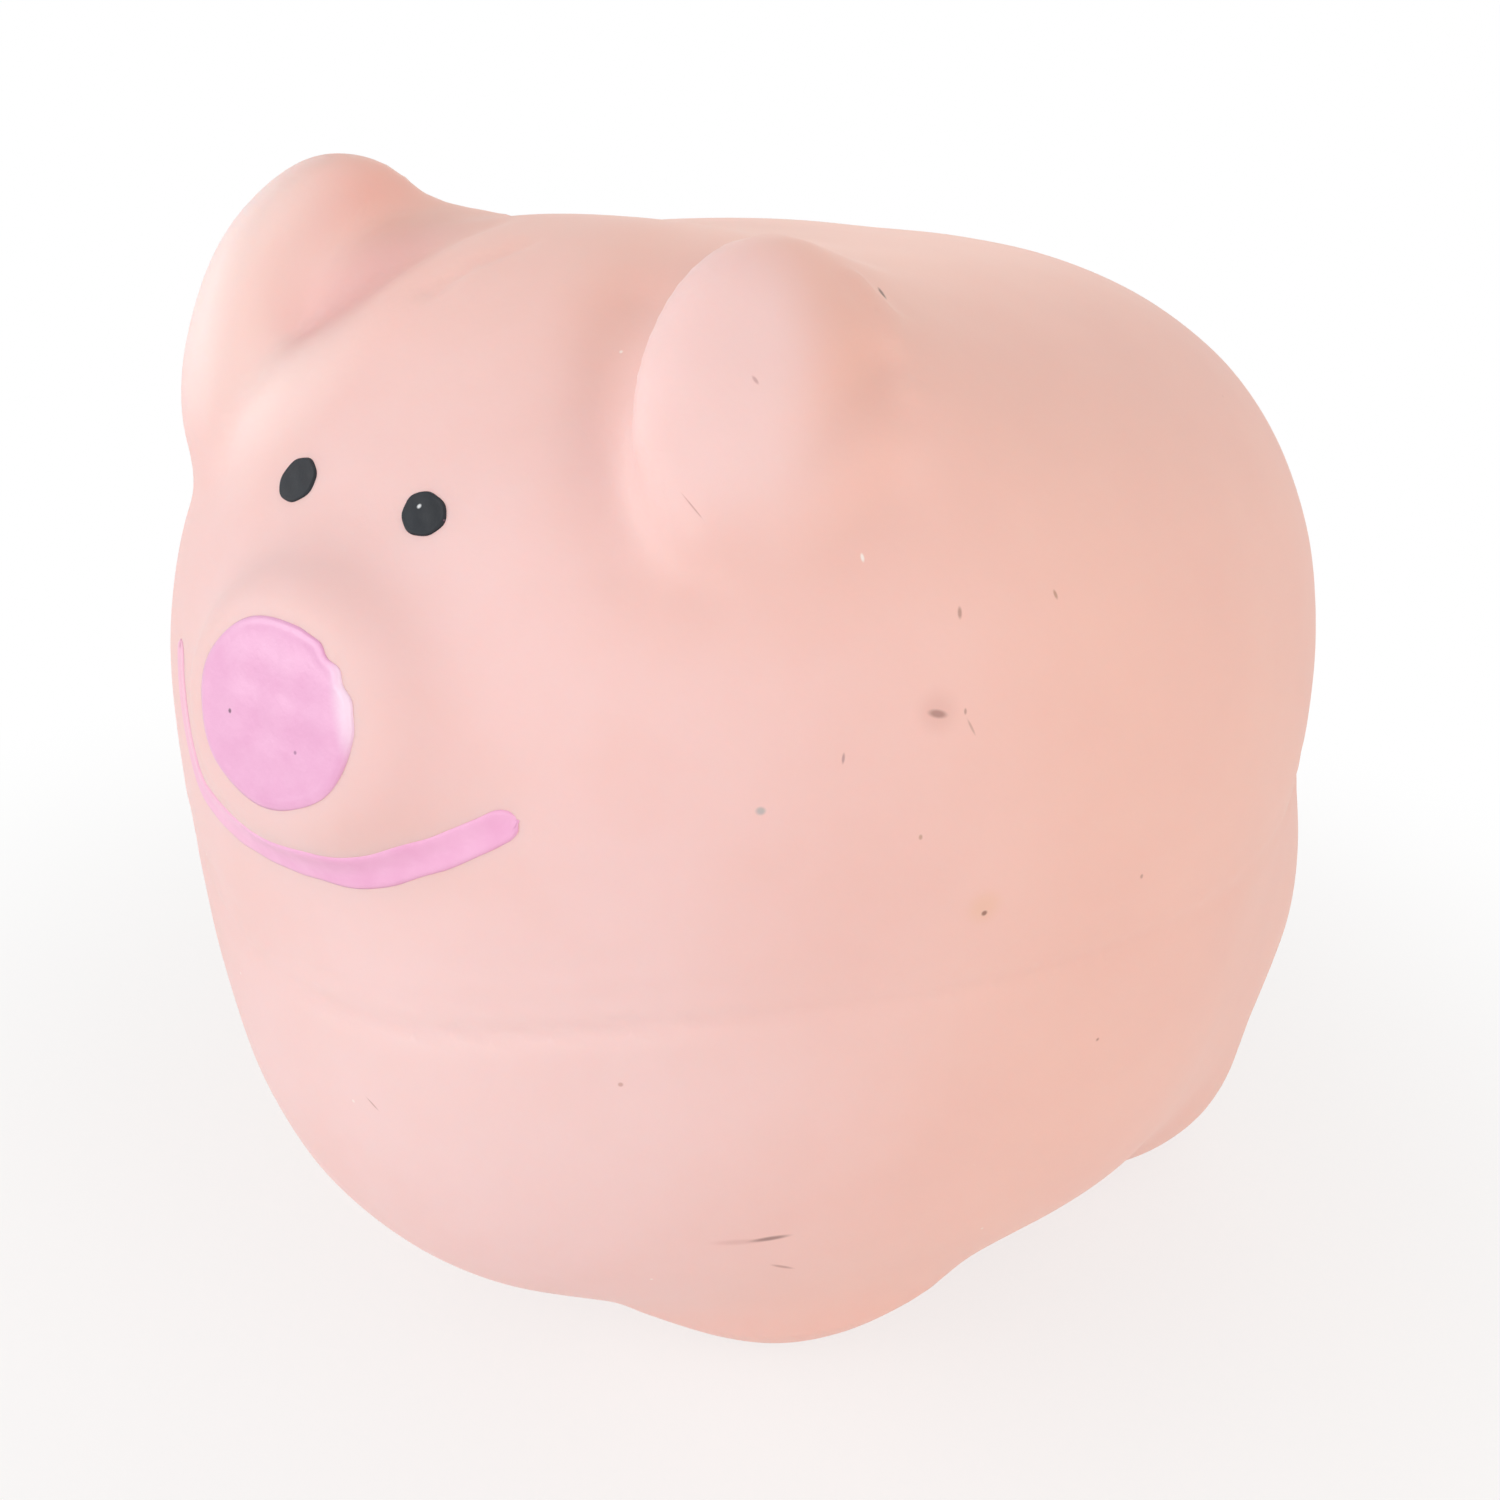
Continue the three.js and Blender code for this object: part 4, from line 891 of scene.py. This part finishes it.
def folds_tree():
    """Bellows folds: a tube whose wall waves in and out along its height."""
    tree = bpy.data.node_groups.new("bellows folds", "GeometryNodeTree")
    for name, kind, value in (
        ("Outer radius", "Float", (BELLOWS_RADIUS - BELLOWS_WALL) * MM),
        ("Height", "Float", (FOLDS_TOP - FOLDS_Z) * MM),
        ("Fold count", "Int", FOLD_COUNT),
        ("Fold depth", "Float", FOLD_DEPTH * MM),
        ("Wall", "Float", BELLOWS_WALL * MM),
    ):
        socket = tree.interface.new_socket(name, in_out="INPUT", socket_type=f"NodeSocket{kind}")
        socket.default_value = value
    tree.interface.new_socket("Folds", in_out="OUTPUT", socket_type="NodeSocketGeometry")
    given = add(tree, "NodeGroupInput").outputs
    rows = add(tree, "ShaderNodeMath", {0: given["Fold count"], 1: 16.0}, operation="MULTIPLY")
    tube = add(tree, "GeometryNodeMeshCylinder", {
        "Vertices": 96, "Side Segments": rows.outputs[0], "Radius": given["Outer radius"], "Depth": given["Height"],
    }, fill_type="NONE")
    at = add(tree, "GeometryNodeInputPosition")
    axis = add(tree, "ShaderNodeSeparateXYZ", {"Vector": at.outputs[0]})
    up = add(tree, "ShaderNodeMath", {0: axis.outputs["Z"], 1: given["Height"]}, operation="DIVIDE")
    turns = add(tree, "ShaderNodeMath", {0: up.outputs[0], 1: given["Fold count"]}, operation="MULTIPLY")
    angle = add(tree, "ShaderNodeMath", {0: turns.outputs[0], 1: 2 * math.pi}, operation="MULTIPLY")
    wave = add(tree, "ShaderNodeMath", {0: angle.outputs[0]}, operation="COSINE")
    inward = add(tree, "ShaderNodeMapRange", {"Value": wave.outputs[0], "From Min": 1.0, "From Max": -1.0})
    drawn = add(tree, "ShaderNodeMath", {0: inward.outputs["Result"], 1: given["Fold depth"]}, operation="MULTIPLY")
    share = add(tree, "ShaderNodeMath", {0: drawn.outputs[0], 1: given["Outer radius"]}, operation="DIVIDE")
    back = add(tree, "ShaderNodeMath", {0: share.outputs[0], 1: -1.0}, operation="MULTIPLY")
    flat = add(tree, "ShaderNodeCombineXYZ", {"X": axis.outputs["X"], "Y": axis.outputs["Y"]})
    shift = add(tree, "ShaderNodeVectorMath", {0: flat.outputs[0], "Scale": back.outputs[0]}, operation="SCALE")
    waved = add(tree, "GeometryNodeSetPosition", {"Geometry": tube.outputs["Mesh"], "Offset": shift.outputs[0]})
    outside = add(tree, "GeometryNodeExtrudeMesh", {
        "Mesh": waved.outputs[0], "Offset Scale": given["Wall"], "Individual": False,
    })
    inside = add(tree, "GeometryNodeFlipFaces", {"Mesh": waved.outputs[0]})
    both = add(tree, "GeometryNodeJoinGeometry")
    tree.links.new(outside.outputs["Mesh"], both.inputs[0])
    tree.links.new(inside.outputs[0], both.inputs[0])
    closed = add(tree, "GeometryNodeMergeByDistance", {"Geometry": both.outputs[0], "Distance": 1e-6})
    smooth = add(tree, "GeometryNodeSetShadeSmooth", {"Geometry": closed.outputs[0]})
    real = add(tree, "GeometryNodeRealizeInstances", {"Geometry": smooth.outputs[0]})
    dressed = add(tree, "GeometryNodeSetMaterial", {"Geometry": real.outputs[0], "Material": bellows_plastic})
    add(tree, "NodeGroupOutput", {0: dressed.outputs[0]})
    return tree


def bellows_folds():
    made = piece("folds", [(0, 0, 0)], np.zeros((0, 4), int), bellows_plastic)
    grown(made, folds_tree())
    made.data.transform(Matrix.Translation((0, HOLE_Y * MM, (FOLDS_Z + FOLDS_TOP) / 2 * MM)))
    return made


def bellows_base():
    bore, neck, inner, disc = 4.3, 5.3, BELLOWS_RADIUS - BELLOWS_WALL, BASE_TOP - BASE_CUP
    floor = disc + BELLOWS_WALL
    outline = [
        (bore, BASE_FOOT), (neck, BASE_FOOT), (neck, disc), (inner, disc), (BELLOWS_RADIUS, floor),
        (BELLOWS_RADIUS, BASE_TOP), (inner, BASE_TOP), (inner, floor + BELLOWS_WALL), (inner - BELLOWS_WALL, floor),
        (bore, floor),
    ]
    return turned("base_cup", rounded(outline, 0.35), bellows_plastic)


def bellows_crown():
    rim = CROWN_Z + (CROWN_TOP - CROWN_Z) / 3
    arc = np.linspace(0, math.pi / 2, 24)[:-1]
    outer = [(BELLOWS_RADIUS * math.cos(a), rim + (CROWN_TOP - rim) * math.sin(a)) for a in arc]
    inner = [
        ((BELLOWS_RADIUS - BELLOWS_WALL) * math.cos(a), rim + (CROWN_TOP - BELLOWS_WALL - rim) * math.sin(a))
        for a in arc
    ]
    outline = [
        (BELLOWS_RADIUS - BELLOWS_WALL, CROWN_Z), (BELLOWS_RADIUS, CROWN_Z), *outer, (0.0, CROWN_TOP),
        (0.0, CROWN_TOP - BELLOWS_WALL), *inner[::-1],
    ]
    return turned("crown_dome", outline, bellows_plastic)


def whistle_tube():
    bore, tube, flange, shelf = 3.0, 4.0, 5.4, TUBE_FOOT + 0.8
    outline = [
        (bore, TUBE_FOOT), (flange, TUBE_FOOT), (flange, shelf), (tube, shelf), (tube, TUBE_TOP), (bore, TUBE_TOP),
    ]
    return turned("whistle_sleeve", rounded(outline, 0.18), whistle_plastic, sides=64)


def fill_plug():
    shank, lip, vent = HOLE_RADIUS - CLEARANCE, HOLE_RADIUS + 2.4, 1.2
    foot = PLUG_FOOT
    outline = [
        (vent, foot + 0.25), (vent + 0.5, foot + 0.05), (4.2, foot), (shank - 0.8, foot + 0.08), (shank, foot + 0.9),
        (shank, PLUG_TOP - 2.0), (lip, PLUG_TOP - 1.4), (lip, PLUG_TOP), (vent, PLUG_TOP),
    ]
    return turned("belly_plug", rounded(outline, 0.3), latex)


# Pieces on their bodies

strands = strand_tree()
span = ((-34, -38, 3), (34, 39, 64))

soft_pieces = (
    (latex_skin(), "latex_skin", "latex"),
    (fill_plug(), "fill_plug", "plug_latex"),
    (filling("lower_wad", lower_wad_distance, *span, strands), "lower_filling", "fibre"),
    (filling("upper_wad", upper_wad_distance, *span, strands), "upper_filling", "fibre"),
    (nose_paint(), "nose_paint", "pink_paint"),
    (mouth_paint(), "mouth_paint", "pink_paint"),
    (eye_paint("left_eye_film", **LEFT_EYE), "left_eye_paint", "black_paint"),
    (eye_paint("right_eye_film", **RIGHT_EYE), "right_eye_paint", "black_paint"),
)
for made, node, finish in soft_pieces:
    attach(made, "toy")
    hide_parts(node)
    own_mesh(made)

folds = bellows_folds()
for made, node, body, finish in (
    (folds, "bellows_folds", "toy", "bellows_plastic"),
    (bellows_base(), "bellows_base", "toy", "bellows_plastic"),
    (bellows_crown(), "bellows_crown", "crown", "bellows_plastic"),
    (whistle_tube(), "whistle_tube", "toy", "whistle_plastic"),
):
    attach(made, body)
    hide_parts(node)
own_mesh(folds)

for node, material in (("reed_trough", whistle_plastic), ("reed_wedge", whistle_plastic), ("reed", reed_film)):
    carried = frame["nodes"][node]
    carried.data.materials.clear()
    carried.data.materials.append(material)


# Stage, light and camera

LAMP_AIM = (0, 0, 0.03)
LAMP_SIZE = 0.5
FLOOR_HALF_SIDE = 4000


def seen_directly(tree):
    """1 for what the camera sees, straight, mirrored or through a clear piece, and 0 for light on its way."""
    path = add(tree, "ShaderNodeLightPath").outputs
    seen = add(tree, "ShaderNodeMath", {0: path["Is Camera Ray"], 1: path["Is Glossy Ray"]}, operation="MAXIMUM")
    seen = add(tree, "ShaderNodeMath", {0: seen.outputs[0], 1: path["Is Transmission Ray"]}, operation="MAXIMUM")
    return seen.outputs[0]


def stage():
    """A pale floor that stays white to the camera but keeps the toy's soft shadow."""
    material = bpy.data.materials.new("pale_floor")
    material.use_nodes = True
    tree = material.node_tree
    tree.nodes.clear()
    seen = seen_directly(tree)
    place = add(tree, "ShaderNodeTexCoord").outputs["Object"]
    far = add(tree, "ShaderNodeVectorMath", {0: place}, operation="LENGTH")
    bare = add(tree, "ShaderNodeMapRange", {
        "Value": far.outputs["Value"], "From Min": 0.03, "From Max": 0.11, "To Min": 0.7, "To Max": 1.0,
    }, interpolation_type="SMOOTHSTEP")
    share = add(tree, "ShaderNodeMath", {0: seen, 1: bare.outputs["Result"]}, operation="MULTIPLY")
    matte = add(tree, "ShaderNodeBsdfDiffuse", {"Color": srgb("#F2F0EE")})
    white = add(tree, "ShaderNodeEmission", {"Color": (1, 1, 1, 1), "Strength": 1.0})
    mixed = add(tree, "ShaderNodeMixShader", {0: share.outputs[0], 1: matte.outputs[0], 2: white.outputs[0]})
    add(tree, "ShaderNodeOutputMaterial", {"Surface": mixed.outputs[0]})
    side = FLOOR_HALF_SIDE
    corners = [(-side, -side, 0), (side, -side, 0), (side, side, 0), (-side, side, 0)]
    floor = piece("floor", corners, [(0, 1, 2, 3)], material)


def world(strength):
    """White to the camera, and a weaker white light from all round."""
    made = bpy.data.worlds.new("studio")
    made.use_nodes = True
    tree = made.node_tree
    tree.nodes.clear()
    glow = add(tree, "ShaderNodeMapRange", {"Value": seen_directly(tree), "To Min": strength, "To Max": 1.0})
    sky = add(tree, "ShaderNodeBackground", {"Color": (1, 1, 1, 1), "Strength": glow.outputs["Result"]})
    add(tree, "ShaderNodeOutputWorld", {"Surface": sky.outputs[0]})
    bpy.context.scene.world = made


def softbox(name, place, power, hexcode="#FFFFFF"):
    """A round soft lamp that looks at the toy's middle."""
    lamp = bpy.data.lights.new(name, "AREA")
    lamp.shape = "DISK"
    lamp.size = LAMP_SIZE
    lamp.energy = power
    lamp.color = srgb(hexcode)[:3]
    made = bpy.data.objects.new(name, lamp)
    made.location = place
    made.rotation_euler = (Vector(LAMP_AIM) - Vector(place)).to_track_quat("-Z", "Y").to_euler()
    bpy.context.scene.collection.objects.link(made)


def camera():
    """A close view from above the pig's left shoulder."""
    azimuth, elevation, roll = math.radians(33.75), math.radians(24.49), math.radians(2.54)
    aim, reach = np.array((-1.38, 1.5, 29.84)), 98.6
    focal_length, frame_width = 1424.24, 1500
    back = np.array((
        math.sin(azimuth) * math.cos(elevation), -math.cos(azimuth) * math.cos(elevation), math.sin(elevation),
    ))
    right = np.cross(-back, (0, 0, 1))
    right /= np.linalg.norm(right)
    up = np.cross(right, -back)
    right, up = (math.cos(roll) * right + math.sin(roll) * up, math.cos(roll) * up - math.sin(roll) * right)
    data = bpy.data.cameras.new("camera")
    data.sensor_width = 36.0
    data.lens = data.sensor_width * focal_length / frame_width
    data.clip_start = 0.003
    made = bpy.data.objects.new("camera", data)
    turn = Matrix(np.stack((right, up, back), 1).tolist()).to_4x4()
    made.matrix_world = Matrix.Translation(Vector((aim + reach * back) * MM)) @ turn
    bpy.context.scene.collection.objects.link(made)
    bpy.context.scene.camera = made


stage()
world(0.50)
softbox("key", (-0.48, -0.55, 0.30), 2.05)
softbox("front", (0.24, -0.70, 0.18), 1.35)
softbox("side", (0.62, 0.02, 0.28), 1.2, "#FFE9DC")
softbox("back", (-0.28, 0.66, 0.40), 0.75, "#FFDFCA")
camera()
bpy.context.scene.view_settings.view_transform = "Standard"
